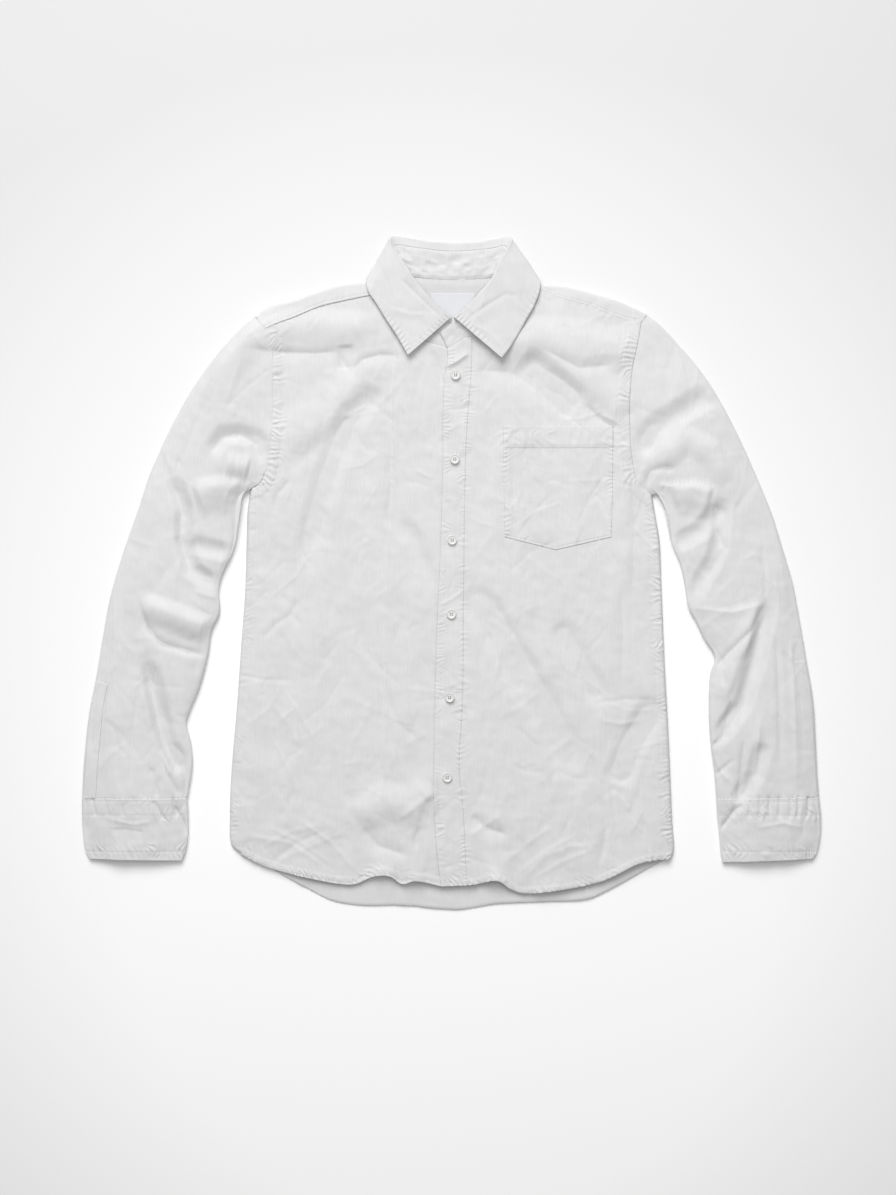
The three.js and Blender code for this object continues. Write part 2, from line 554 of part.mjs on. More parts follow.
/** One section of the yoke, from the back seam up and round the fold to its end. */
function yokeSection({ foot, ridge, flap, length, bow }) {
  const whole = ridge.distanceTo(foot);
  const straight = whole - YOKE_FOLD;
  const lowerAt = (s) => foot.clone().lerp(ridge, s / whole).add(bow(s / whole));
  const centre = lowerAt(straight);
  const direction = ridge.clone().sub(centre).normalize();
  const base = yokeLift(centre.y);
  const crest = relief(centre.x, centre.y);
  const turn = (Math.PI / 2) * (YOKE_FOLD + (crest - base) / 2);
  const flapRun = flap ? flap.clone().sub(centre).length() : 0;
  const full = straight + turn + flapRun;
  const end = length < 0 ? full : length;
  const bend = Math.min(straight, end - YOKE_NECK_END);

  const pair = (p, z, tilt) => {
    const inner = p.clone().addScaledVector(direction, -CLOTH * Math.sin(tilt));
    return { outer: vec(p.x, p.y, z), inner: vec(inner.x, inner.y, z + CLOTH * Math.cos(tilt)) };
  };
  const at = (s) => {
    if (s <= straight) {
      const p = lowerAt(s);
      return pair(p, yokeLift(p.y), 0);
    }
    if (s <= straight + turn || !flap) {
      const tilt = Math.min(1, (s - straight) / turn) * Math.PI;
      const p = centre.clone().addScaledVector(direction, YOKE_FOLD * Math.sin(tilt));
      return pair(p, base + ((crest - base) / 2) * (1 - Math.cos(tilt)), tilt);
    }
    const p = centre.clone().lerp(flap, (s - straight - turn) / flapRun);
    return pair(p, relief(p.x, p.y), Math.PI);
  };

  const places = [...YOKE_LOWER.map((share) => share * Math.min(whole, end)), bend];
  const tail = YOKE_TURN + YOKE_FLAP;
  const share = turn / (turn + Math.max(flapRun, 1));
  const packing = clamp01((end - straight) / turn);
  for (let i = 1; i <= tail; i += 1) {
    const packed = i <= YOKE_TURN ? share * (i / YOKE_TURN)
      : share + (1 - share) * ((i - YOKE_TURN) / YOKE_FLAP);
    places.push(bend + (end - bend) * lerp(i / tail, packed, packing));
  }
  return places.map(at);
}

const NO_BOW = () => vec(0, 0);

/** The yoke's shoulder sections, armhole first, one for each point of its front seam. */
function shoulderSections(side) {
  const armhole = armholePoints(side);
  const ridge = curve([...OUTLINE[side].shoulder].reverse());
  const footX = (t) => lerp(1, YOKE_FEET, t) * armhole[2].x;
  const hollow = inTurn(
    throughPoints([armhole[2], armhole[0]]),
    throughPoints([armhole[0], shoulderPoint(side)]),
    YOKE_LOWER[2],
  );
  const chord = throughPoints([armhole[2], shoulderPoint(side)]);
  return yokeSeamPoints(side).map((flap, i, all) => {
    const t = i / (all.length - 1);
    return yokeSection({
      foot: backSeam(footX(t)).add(vec(0, GAP)),
      ridge: ridge(t),
      flap,
      length: -1,
      bow: (q) => hollow(q).sub(chord(q)).multiplyScalar((1 - t) ** 2),
    });
  });
}

/** Sections from a neck corner to the middle: the flap ends, then the neck is cut out. */
function neckSections(side) {
  return NECK[side].map(({ foot, ridge, flap, ends }) => {
    const start = backSeam(foot).add(vec(0, GAP));
    const top = vec(...ridge);
    const length = ends ? ends - start.y : -1;
    return yokeSection({ foot: start, ridge: top, flap: flap && vec(...flap), length, bow: NO_BOW });
  });
}

function yoke() {
  const sections = [
    ...shoulderSections('right'), ...neckSections('right'),
    ...neckSections('left').reverse(), ...shoulderSections('left').reverse(),
  ];
  const grid = (layer) => sections.map((section) => section.map((point) => point[layer]));
  return wallBetween(grid('outer'), grid('inner'));
}

// --------------------------------------------------------------- sleeves and cuffs

const TOP_SHARES = [0, 0.015, 0.06, 0.14, 0.24, 0.36, 0.48, 0.6, 0.72, 0.83, 0.93, 0.985, 1];
const LOW_SHARES = [0.84, 0.68, 0.5, 0.33, 0.14];

/** One ring of a flattened tube: over the top from the outer side, back underneath. */
function tubeRing(top, low, under, wall) {
  const inwards = (from, to) => to.clone().sub(from).setZ(0).normalize();
  const sideLine = (p, next) => {
    const z = TUBE_SIDE + under(p.x, p.y);
    const q = p.clone().addScaledVector(inwards(p, next), wall);
    return { outer: vec(p.x, p.y, z), inner: vec(q.x, q.y, z) };
  };
  const upper = (p) => {
    const z = relief(p.x, p.y);
    return { outer: vec(p.x, p.y, z), inner: vec(p.x, p.y, z - wall) };
  };
  const lower = (p) => {
    const z = under(p.x, p.y);
    return { outer: vec(p.x, p.y, z), inner: vec(p.x, p.y, z + wall) };
  };
  return [
    sideLine(top[0], top[1]),
    ...top.slice(1, -1).map(upper),
    sideLine(top.at(-1), top.at(-2)),
    ...low.map(lower),
  ];
}

function tubeWall(rings) {
  const grid = (layer) => rings.map((ring) => ring.map((point) => point[layer]));
  return wallBetween(grid('outer'), grid('inner'), { wrap: true });
}

/** Shares across the underside of a tube, which starts inside its two side lines. */
function lowShares(width) {
  const inset = TUBE_INSET / width;
  return [1 - inset, ...LOW_SHARES, inset];
}

function sleeve(side) {
  const outward = side === 'left' ? 1 : -1;
  const armhole = armholePoints(side);
  const shoulder = shoulderPoint(side);
  const headTop = [shoulder, shoulder.clone().lerp(armhole[0], 0.5), ...armhole];
  const headLow = [
    armhole.at(-1).clone().lerp(armhole.at(-3), SLEEVE_HEAD.underarm),
    ...backArmhole(side).slice(0, -1).reverse(),
    armhole[0],
    shoulder.clone().lerp(armhole[0], SLEEVE_HEAD.shoulder),
  ];
  const sections = [{ outer: shoulder.toArray(), inner: armhole.at(-1).toArray() }, ...SLEEVE[side]];
  const runOf = (key) => {
    const spline = new THREE.CatmullRomCurve3(sections.map((s) => vec(...s[key])), false, 'centripetal');
    return (t) => spline.getPoint(t);
  };
  const [outer, inner] = [runOf('outer'), runOf('inner')];
  const rings = steps(SLEEVE_ROWS).map((t, row) => {
    const [a, b] = [outer(t), inner(t)];
    const fade = (1 - clamp01(t / SLEEVE_HEAD.reach)) ** 2;
    const bent = (share, head) => {
      const straight = shoulder.clone().lerp(armhole.at(-1), share);
      const p = a.clone().lerp(b, share).addScaledVector(head.clone().sub(straight), fade);
      if (row === 0) p.x += outward * GAP;
      return p;
    };
    const top = TOP_SHARES.map((share, i) => bent(share, headTop[i]));
    const low = lowShares(a.distanceTo(b)).map((share, i) => bent(share, headLow[i]));
    return tubeRing(top, low, () => 0, CLOTH);
  });
  return tubeWall(rings);
}

function cuff(side) {
  const button = CUFF_BUTTON[side];
  const under = (x, y) => {
    const away = Math.max(Math.abs(x - button.x) / CUFF_LIFT.across, Math.abs(y - button.y) / CUFF_LIFT.along);
    return CUFF_LIFT.z * easeInOut(clamp01(CUFF_LIFT.steep * (1 - away)));
  };
  const rings = CUFF[side].map((section, row) => {
    const [a, b] = [vec(...section.outer), vec(...section.inner)];
    const across = (share) => {
      const p = a.clone().lerp(b, share);
      if (row === 0) p.y -= GAP;
      return p;
    };
    return tubeRing(TOP_SHARES.map(across), lowShares(a.distanceTo(b)).map(across), under, CUFF_CLOTH);
  });
  return tubeWall(rings);
}

/** The strip at the sleeve's slit, lying on the sleeve from its outer fold inwards. */
function sleevePlacket(side) {
  const sections = SLEEVE[side].slice(-5);
  const shares = [0.02, 0.07, 0.135];
  const outer = curve(sections.map((section) => section.outer));
  const inner = curve(sections.map((section) => section.inner));
  const grid = steps(8).map((t) => shares.map((share) => outer(t).lerp(inner(t), share)));
  return wallUnder(grid, (x, y) => relief(x, y) + SLIT_CLEARANCE + CLOTH);
}

// ------------------------------------------------------------- collar and its stand

/** Table rows turned into smooth runs along the collar, one for each named column. */
function alongCollar(rows, column) {
  const spline = new THREE.CatmullRomCurve3(rows.map((row) => vec(...row[column])), false, 'centripetal');
  return (t) => spline.getPoint(t);
}

function collarLeaf() {
  const [band, roll, edge] = ['band', 'roll', 'edge'].map((name) => alongCollar(COLLAR, name));
  const turn = (t) => {
    const place = t * (COLLAR.length - 1);
    const row = Math.min(Math.floor(place), COLLAR.length - 2);
    return THREE.MathUtils.degToRad(lerp(COLLAR[row].turn, COLLAR[row + 1].turn, place - row));
  };
  const grid = steps(COLLAR_STATIONS).map((t) => {
    const [s, r, e] = [band(t), roll(t), edge(t)];
    const along = band(Math.min(t + BAND_STEP, 1)).sub(band(Math.max(t - BAND_STEP, 0))).normalize();
    const rise = r.clone().sub(s);
    const upward = rise.addScaledVector(along, -rise.dot(along)).normalize();
    const start = s.clone().addScaledVector(upward, LEAF_GAP);
    const outward = e.clone().sub(r).setZ(0).normalize();
    const angle = turn(t);
    const leaving = outward.clone().multiplyScalar(Math.cos(angle)).add(vec(0, 0, -Math.sin(angle)));
    const grip = lerp(LEAF_BEND.grip, LEAF_BEND.foldedGrip, clamp01(angle / (Math.PI / 2)));
    const inside = new THREE.CubicBezierCurve3(
      start,
      start.clone().addScaledVector(upward, start.distanceTo(r) * LEAF_BEND.rise),
      r.clone().addScaledVector(leaving, -grip),
      r,
    );
    const outside = new THREE.CubicBezierCurve3(
      r,
      r.clone().addScaledVector(leaving, grip),
      e.clone().lerp(r, LEAF_BEND.fall).setZ(lerp(e.z, r.z, LEAF_BEND.droop * Math.cos(angle))),
      e,
    );
    return [0, 0.4, 0.75, 1].map((q) => inside.getPoint(q))
      .concat([0.16, 0.36, 0.65, 1].map((q) => outside.getPoint(q)));
  });
  return wallAround(grid, COLLAR_CLOTH);
}

function collarStand() {
  const rows = [BAND_ENDS.right, ...COLLAR, BAND_ENDS.left];
  const [seam, band] = ['seam', 'band'].map((name) => alongCollar(rows, name));
  const grid = steps(COLLAR_STATIONS).map((t) => {
    const [n, s] = [seam(t), band(t)];
    const upward = s.clone().sub(n).normalize();
    n.addScaledVector(upward, STAND_GAP);
    return [0, 0.5, 1].map((q) => n.clone().lerp(s, q));
  });
  return wallAround(grid, BAND_CLOTH);
}

function neckLabel() {
  const { x, y, width, height } = LABEL;
  const grid = [0, 0.5, 1].map((v) => [0, 0.5, 1].map((u) => (
    vec(x + width * (u - 0.5), y + height * (0.5 - v), CLOTH + GAP + LABEL_CLOTH)
  )));
  return wallBetween(grid, grid.map((line) => line.map((p) => vec(p.x, p.y, CLOTH + GAP))));
}

// ------------------------------------------------------------------------- buttons

/** Builds the button once: a turned disc with a rim, a dish and four sewing holes. */
async function turnedButton() {
  const { radius, height, rim, dish, hole, spread } = BUTTON;
  const wasm = await Module();
  wasm.setup();
  const profile = [
    [0, 0], [radius - 1, 0], [radius, 0.8], [radius, height - 0.4], [radius - rim / 2, height],
    [radius - rim - 0.4, height - dish], [0, height - dish],
  ].map(([r, z]) => new THREE.Vector2(r, z));
  const solidOf = (geometry) => {
    geometry.deleteAttribute('normal');
    geometry.deleteAttribute('uv');
    const merged = mergeVertices(geometry, 1e-4);
    const index = Array.from(merged.getIndex().array);
    const triangles = [];
    for (let i = 0; i < index.length; i += 3) {
      const face = index.slice(i, i + 3);
      if (new Set(face).size === 3) triangles.push(...face);
    }
    return new wasm.Manifold(new wasm.Mesh({
      numProp: 3,
      vertProperties: Float32Array.from(merged.getAttribute('position').array),
      triVerts: Uint32Array.from(triangles),
    }));
  };
  let solid = solidOf(new THREE.LatheGeometry(profile, 12).rotateX(Math.PI / 2));
  for (const quarter of [0, 1, 2, 3]) {
    const angle = (quarter + 0.5) * (Math.PI / 2);
    const drill = new THREE.CylinderGeometry(hole, hole, 3 * height, 5).rotateX(Math.PI / 2)
      .translate(spread * Math.cos(angle), spread * Math.sin(angle), 0);
    solid = solid.subtract(solidOf(drill));
  }
  const mesh = solid.getMesh();
  const geometry = new THREE.BufferGeometry();
  geometry.setAttribute('position', new THREE.BufferAttribute(Float32Array.from(mesh.vertProperties), 3));
  geometry.setIndex(Array.from(mesh.triVerts));
  return geometry;
}

/** A button seated on a sloping cloth surface, turned to lie flat on it. */
function seatedButton(name, geometry, x, y, surface) {
  const reach = BUTTON.radius;
  const slopeX = (surface(x + reach, y) - surface(x - reach, y)) / (2 * reach);
  const slopeY = (surface(x, y + reach) - surface(x, y - reach)) / (2 * reach);
  const normal = vec(-slopeX, -slopeY, 1).normalize();
  const button = new THREE.Mesh(geometry, MATERIALS.button);
  button.name = name;
  button.quaternion.setFromUnitVectors(vec(0, 0, 1), normal);
  button.position.set(x, y, surface(x, y)).addScaledVector(normal, BUTTON_GAP);
  return button;
}

// ----------------------------------------------------------------------- materials

const MATERIALS = {
  cotton: new THREE.MeshStandardMaterial({ color: 0xe9e9ea, roughness: 0.9, metalness: 0 }),
  label: new THREE.MeshStandardMaterial({ color: 0xeeeef4, roughness: 0.75, metalness: 0 }),
  button: new THREE.MeshStandardMaterial({ color: 0xe4e3e0, roughness: 0.35, metalness: 0 }),
};

// ------------------------------------------------------------------------ assembly

const shirt = new THREE.Group();

function addPiece(name, geometry, material = MATERIALS.cotton) {
  const piece = new THREE.Mesh(geometry, material);
  piece.name = name;
  shirt.add(piece);
}

addPiece('back', back());
addPiece('yoke', yoke());
addPiece('front_right', frontRight());
addPiece('front_left', frontLeft());
addPiece('button_placket', buttonPlacket());
addPiece('pocket', pocket());
for (const side of ['right', 'left']) {
  addPiece(`sleeve_${side}`, sleeve(side));
  addPiece(`sleeve_placket_${side}`, sleevePlacket(side));
  addPiece(`cuff_${side}`, cuff(side));
}
addPiece('collar_stand', collarStand());
addPiece('collar', collarLeaf());
addPiece('neck_label', neckLabel(), MATERIALS.label);

const buttonGeometry = await turnedButton();
const onPlacket = (x, y) => relief(x, y) + GAP + CLOTH;
for (const { name, x, y } of BUTTONS) shirt.add(seatedButton(name, buttonGeometry, x, y, onPlacket));
shirt.add(seatedButton(BAND_BUTTON.name, buttonGeometry, BAND_BUTTON.x, BAND_BUTTON.y, () => BAND_BUTTON.z));
for (const { name, x, y } of Object.values(CUFF_BUTTON)) {
  const button = seatedButton(name, buttonGeometry, x, y, () => 0);
  button.position.z = CUFF_LIFT.z - 2 * GAP;
  button.rotation.x = Math.PI;
  shirt.add(button);
}

export default shirt;
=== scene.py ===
# %% [markdown]
# # A crumpled white shirt, laid flat
#
# The garment is a man's long-sleeved shirt of plain white cotton. Somebody has washed
# it, not ironed it, buttoned it and laid it face up, so it is full of soft folds and
# fine creases, and every seam is puckered where the sewing thread has held the cloth
# back while it shrank. Two ways of making it come to mind. A cloth simulation could
# drop a sewn pattern on a floor, but it would give folds of its own choosing. A shirt
# that lies flat is really a low relief, a height over every place of the floor. So
# here one function gives that height, and each panel is a fine grid that asks it.
#
# Lengths are in millimetres, as a shirt maker measures, and `MM` turns them into
# Blender's metres. +X points to the wearer's left, +Y to the collar, +Z up.

import math

import bpy
import numpy as np
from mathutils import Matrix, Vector


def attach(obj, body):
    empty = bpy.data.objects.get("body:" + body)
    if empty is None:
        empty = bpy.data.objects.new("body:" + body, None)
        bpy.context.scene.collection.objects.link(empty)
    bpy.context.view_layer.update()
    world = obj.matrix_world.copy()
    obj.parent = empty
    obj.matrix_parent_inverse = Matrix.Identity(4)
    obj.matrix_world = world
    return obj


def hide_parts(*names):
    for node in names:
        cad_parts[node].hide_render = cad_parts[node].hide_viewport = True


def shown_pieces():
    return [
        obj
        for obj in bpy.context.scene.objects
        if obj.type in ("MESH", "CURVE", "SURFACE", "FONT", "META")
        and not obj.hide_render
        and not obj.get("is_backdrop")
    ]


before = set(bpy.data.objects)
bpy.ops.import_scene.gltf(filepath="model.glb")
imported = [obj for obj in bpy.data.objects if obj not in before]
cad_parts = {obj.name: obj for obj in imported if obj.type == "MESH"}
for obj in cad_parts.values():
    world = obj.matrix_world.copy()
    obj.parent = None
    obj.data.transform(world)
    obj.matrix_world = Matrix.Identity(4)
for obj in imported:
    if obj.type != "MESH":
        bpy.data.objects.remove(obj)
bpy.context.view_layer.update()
MM = 0.001
print("nodes in the frame:", len(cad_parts))

# %% [markdown]
# ## Camera, floor and light
#
# Flat clothes are looked at from straight above through a long lens, so that no side
# of the shirt looks larger than another. White on white only reads through shading.
# A window some metres off, beyond the collar, gives half of the light: it shades each
# fold, and as it is nearer to the collar than to the hem, the shirt gets a little
# greyer towards the hem. A soft box over the chest leaves the cuffs greyer still. A
# pale sky all round gives the rest and darkens whatever lies low beside something tall.

# %% Camera
FRAME_HEIGHT = 1410.1  # of floor in the camera's view, from top to bottom
FRAME_CENTRE = (-3.0, -29.5)
LENS, SENSOR = 60.0, 36.0

camera_data = bpy.data.cameras.new("overhead")
camera_data.lens = LENS
camera_data.sensor_width = SENSOR
camera_data.clip_end = 20
camera = bpy.data.objects.new("overhead", camera_data)
camera_height = LENS / SENSOR * FRAME_HEIGHT
camera.location = (FRAME_CENTRE[0] * MM, FRAME_CENTRE[1] * MM, camera_height * MM)
bpy.context.scene.collection.objects.link(camera)
bpy.context.scene.camera = camera
print("camera height", round(camera_height), "mm")

# %% Floor, sky and lights
FLOOR_DROP = 0.4  # just under the cloth, so the two surfaces don't flicker
FLOOR_SIZE = 7000
# painted light: the floor's colour is whitest near a spot by the hem and painted greyer outwards, a
# painted vignette that also makes up for the lamps' falloff towards the hem
FLOOR_LIGHT_POOL = {"centre": (0, -0.38, 0), "near": 0.38, "white": 0.975, "far": 1.2, "grey": 0.72}

floor_mesh = bpy.data.meshes.new("floor")
half = FLOOR_SIZE / 2 * MM
corners = [(-half, -half), (half, -half), (half, half), (-half, half)]
floor_mesh.from_pydata([(x, y, -FLOOR_DROP * MM) for x, y in corners], [], [(0, 1, 2, 3)])
floor = bpy.data.objects.new("floor", floor_mesh)
bpy.context.scene.collection.objects.link(floor)
floor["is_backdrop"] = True


def floor_with_painted_light():
    """Matt white floor with a painted pool of light: whitest near a spot by the hem, with painted
    shade making it greyer away from there.
    """
    material = bpy.data.materials.new("floor with painted light")
    material.use_nodes = True
    nodes, links = material.node_tree.nodes, material.node_tree.links
    shader = nodes["Principled BSDF"]
    shader.inputs["Roughness"].default_value = 0.95
    shader.inputs["Specular IOR Level"].default_value = 0.1
    place = nodes.new("ShaderNodeTexCoord")
    distance = nodes.new("ShaderNodeVectorMath")
    distance.operation = "DISTANCE"
    distance.inputs[1].default_value = FLOOR_LIGHT_POOL["centre"]
    ramp = nodes.new("ShaderNodeValToRGB")
    ramp.color_ramp.interpolation = "LINEAR"
    for element, stop, shade in zip(ramp.color_ramp.elements, ("near", "far"), ("white", "grey")):
        element.position = FLOOR_LIGHT_POOL[stop]
        element.color = (*[FLOOR_LIGHT_POOL[shade]] * 3, 1)
    links.new(place.outputs["Object"], distance.inputs[0])
    links.new(distance.outputs["Value"], ramp.inputs["Fac"])
    links.new(ramp.outputs["Color"], shader.inputs["Base Color"])
    return material


# the floor's material carries a painted pool of light, with painted shade towards the corners
floor_mesh.materials.append(floor_with_painted_light())

LAMPS = [
    {"name": "window", "from": (-0.7, 3.5, 3.45), "across": 3.2, "watts": 206},
    {"name": "soft box", "from": (0.0, 0.15, 1.5), "across": 0.9, "watts": 5.6},
]
SKY = 0.33

for row in LAMPS:
    lamp = bpy.data.lights.new(row["name"], "AREA")
    lamp.shape = "DISK"
    lamp.size = row["across"]
    lamp.energy = row["watts"]
    light = bpy.data.objects.new(row["name"], lamp)
    light.location = Vector(row["from"])
    light.rotation_euler = (-light.location).to_track_quat("-Z", "Y").to_euler()
    light.visible_camera = False
    bpy.context.scene.collection.objects.link(light)

sky = bpy.data.worlds.new("pale room")
sky.use_nodes = True
sky.node_tree.nodes["Background"].inputs["Color"].default_value = (1, 1, 1, 1)
sky.node_tree.nodes["Background"].inputs["Strength"].default_value = SKY
bpy.context.scene.world = sky
bpy.context.scene.view_settings.view_transform = "Standard"
print("lamps:", [row["name"] for row in LAMPS], "sky", SKY)

# %% [markdown]
# ## The cut of the shirt as it lies
#
# Each seam and edge is a short run of points that a maker could chalk on the table,
# as x and y. "right" and "left" are the wearer's own sides. Tables with named columns
# hold what comes in rows: sections of the flattened sleeves, stations round the
# collar, buttons and folds. A fold's row says its lift at the crest or trough, how wide
# it is on the left and on the right of its path, and the path itself.

# %% Sizes
def table(columns, rows):
    """Rows of values under named columns."""
    return [dict(zip(columns, row)) for row in rows]


OUTLINE = {
    "right": {
        "shoulder": [[-69, 346.5], [-96, 341.5], [-126, 338.5], [-155, 331], [-185, 320],
            [-213, 313], [-230, 301]],
        "yoke_seam": [[-71, 329], [-96, 326], [-126, 320], [-155, 313], [-185, 300], [-201, 294],
            [-218, 286]],
        "neck": [[-71, 329], [-69, 316], [-62, 301], [-50, 287], [-34, 274], [-3.5, 263]],
        "armhole": [[-230, 301], [-218, 286], [-213, 268], [-212, 237], [-212, 168], [-215, 139],
            [-220, 115], [-227, 103], [-235, 100]],
        "side": [[-235, 100], [-239, 74], [-240, 44], [-242, -21], [-247, -91], [-252, -162],
            [-258, -233], [-260, -286], [-258, -322], [-248, -331]],
        "hem": [[-248, -331], [-219, -345], [-178, -356], [-130, -365], [-113, -365], [-89, -355],
            [-71, -355], [-57, -364], [-42, -360], [-11, -366]],
    },
    "left": {
        "shoulder": [[70, 345], [103, 339], [136, 336], [171, 327], [200, 318], [231, 303]],
        "yoke_seam": [[82, 331], [112, 331], [126, 324], [162, 314], [194, 301], [224, 292]],
        "neck": [[82, 331], [76, 315], [65, 302], [48, 291], [25, 280]],
        "armhole": [[231, 303], [224, 292], [221, 274], [214, 239], [211, 204], [211, 168],
            [213, 139], [219, 109], [227, 99], [237, 91]],
        "side": [[237, 91], [241, 68], [246, 38], [248, -9], [252, -103], [257, -198], [261, -292],
            [263, -327], [260, -337]],
        "hem": [[260, -337], [224, -342], [176, -364], [112, -376], [82, -377], [70, -372],
            [58, -363], [49, -362], [35, -366], [19, -368]],
    },
}

BACK_HEM = [[-248, -331], [-213, -349], [-174, -370], [-142, -386], [-107, -392], [-60, -392],
    [11, -397], [58, -390], [106, -388], [165, -384], [194, -371], [235, -349], [260, -337]]

PLACKET_EDGE = [[-3.5, 263], [-3, 250], [-7, 225], [-9, 109], [-12, 15], [-16, -80], [-19, -221],
    [-19, -268], [-16, -327], [-11, -369]]

PLACKET_STITCH = [[25, 280], [25, 258], [24, 233], [19, 168], [17, 109], [15, -56], [14, -150],
    [10, -233], [14, -268], [19, -368]]

BUTTONS = table(("name", "x", "y"), [
    ("button_1", 6, 232), ("button_2", 5, 133), ("button_3", 2, 38),
    ("button_4", 1, -49), ("button_5", -1, -147), ("button_6", -4, -241),
])

POCKET = {
    "left": 64, "right": 189, "top": 172, "bottom": 42, "point": {"x": 124, "y": 27}, "lean": 2,
}

LABEL = {"x": 2.5, "y": 311, "width": 52, "height": 36}

TUBE_COLUMNS = ("outer", "inner")
SLEEVE = {
    "right": table(TUBE_COLUMNS, [
        [(-248, 286), (-240, 97)], [(-279, 251), (-250, 88)], [(-307, 211), (-253, 62)],
        [(-331, 167), (-255, 36)], [(-343, 141), (-258, 22)], [(-355, 113), (-270, -5)],
        [(-365, 82), (-273, -21)], [(-378, 45), (-272, -47)], [(-390, 9), (-281, -68)],
        [(-402, -35), (-286, -99)], [(-410, -80), (-296, -136)], [(-418, -127), (-307, -163)],
        [(-425, -162), (-311, -177)], [(-429, -194), (-306, -199)], [(-432, -227), (-304, -226)],
        [(-434, -266), (-310, -266)],
    ]),
    "left": table(TUBE_COLUMNS, [
        [(247, 291), (243, 92)], [(271, 265), (250, 86)], [(294, 238), (257, 72)],
        [(318, 201), (260, 50)], [(342, 154), (262, 32)], [(362, 109), (271, 9)],
        [(379, 67), (277, -21)], [(388, 38), (280, -41)], [(395, 15), (289, -58)],
        [(402, -9), (298, -77)], [(411, -56), (311, -100)], [(419, -103), (306, -119)],
        [(427, -150), (304, -152)], [(430, -198), (306, -198)], [(432, -240), (311, -238)],
        [(434, -264), (313, -267)],
    ]),
}

CUFF = {
    "right": table(TUBE_COLUMNS, [
        [(-434, -266), (-310, -266)], [(-434, -286), (-309, -286)], [(-433, -304), (-309, -308)],
        [(-430, -327), (-312, -328)], [(-425, -337), (-316, -339)],
    ]),
    "left": table(TUBE_COLUMNS, [
        [(434, -264), (313, -267)], [(436, -286), (314, -286)], [(436, -304), (316, -305)],
        [(432, -327), (318, -328)], [(427, -337), (320, -341)],
    ]),
}

COLLAR_COLUMNS = ("seam", "band", "roll", "edge", "turn")
COLLAR = table(COLLAR_COLUMNS, [
    [(-4, 264, 7.4), (-1, 293, 9.6), (0, 298.5, 15.5), (-50, 255, 17.3), 0],
    [(-28, 272, 7.9), (-7, 297.5, 10.4), (-4, 302, 16.5), (-51, 257, 17), 0],
    [(-45, 284, 7.9), (-18, 306, 11), (-15, 310, 17), (-56, 266, 16), 0],
    [(-56, 299, 7.9), (-33, 322, 11.5), (-30, 326, 17.5), (-64, 280, 14), 0],
    [(-63, 315, 7.6), (-47, 340, 11.5), (-45, 345, 17.5), (-76, 298, 13), 0],
    [(-64, 329, 7), (-58.5, 359, 10.5), (-58, 364, 16), (-87, 316, 12), 5],
    [(-60, 341, 6.2), (-64.5, 373, 9), (-66, 378, 13), (-97, 332, 10.5), 15],
    [(-55, 348, 4.8), (-66.5, 383, 7), (-71, 392, 8), (-97.5, 346.5, 4.6), 60],
    [(-51, 350, 3.6), (-61, 385, 5), (-67, 395, 4.5), (-84, 342.5, 1), 80],
    [(-43, 349, 3), (-52, 384, 3.8), (-58, 394.5, 2.4), (-60, 339, 0.75), 90],
    [(-24, 347, 2.8), (-31, 381, 3.2), (-36, 391, 1.9), (-34, 340, 0.75), 90],
    [(0, 346, 2.8), (0, 378, 3.1), (0, 388, 1.8), (0, 341, 0.75), 90],
    [(24, 346.5, 2.8), (31, 379.5, 3.2), (34, 389.5, 1.9), (34, 340, 0.75), 90],
    [(44, 348, 3), (52, 382, 3.8), (57, 393, 2.4), (62, 339, 0.75), 90],
    [(51, 349, 3.6), (61, 384, 5), (67, 394.5, 4.5), (88, 341.5, 1), 80],
    [(55, 347, 4.8), (66.5, 382, 7), (72, 391.5, 8), (105, 344, 4.6), 60],
    [(60, 341, 6.2), (65, 372, 9), (67, 377, 13), (104, 330, 10.5), 15],
    [(66, 329, 7), (58.5, 358, 10.5), (58, 363, 16), (98, 314, 12), 5],
    [(66, 314, 7.6), (51, 337, 11.5), (49, 342, 17.5), (88, 296, 13), 0],
    [(62, 303, 8.2), (39, 322, 12.5), (35, 326, 18.5), (78, 278, 14), 0],
    [(49, 293, 8.8), (27, 310, 12.5), (23, 314, 18.5), (68, 262, 16), 0],
    [(33, 284, 9.4), (15, 299, 12.5), (12, 303, 18.5), (61, 253, 17), 0],
    [(15, 275, 9.8), (6.5, 294, 12.2), (5, 298.5, 18.5), (60, 251.5, 17.3), 0],
])

BAND_ENDS = {
    "right": {"seam": [22, 279, 7], "band": [15, 294, 8.2]},
    "left": {"seam": [-3.5, 264, 9.8], "band": [-12, 282, 10.6]},
}

NECK = {
    "right": [
        {"foot": -66, "ridge": [-65, 348], "flap": [-66, 339]},
        {"foot": -60, "ridge": [-60, 351], "ends": 351.3},
        {"foot": -54, "ridge": [-54, 354.5], "ends": 349.8},
        {"foot": -42, "ridge": [-42, 355], "ends": 348.5},
        {"foot": -22, "ridge": [-22, 355], "ends": 346.5},
        {"foot": 0, "ridge": [0, 355], "ends": 345.5},
    ],
    "left": [
        {"foot": 67, "ridge": [66, 347], "flap": [71, 339]},
        {"foot": 60, "ridge": [60, 350.5], "ends": 350.8},
        {"foot": 54, "ridge": [54, 354.5], "ends": 349.3},
        {"foot": 42, "ridge": [42, 355], "ends": 347.5},
        {"foot": 22, "ridge": [22, 355], "ends": 346},
    ],
}

CUFF_BUTTON = {
    "right": {"name": "cuff_button_right", "x": -392, "y": -303},
    "left": {"name": "cuff_button_left", "x": 396, "y": -303},
}

BAND_BUTTON = {"name": "button_collar", "x": 23, "y": 291, "z": 12.1}

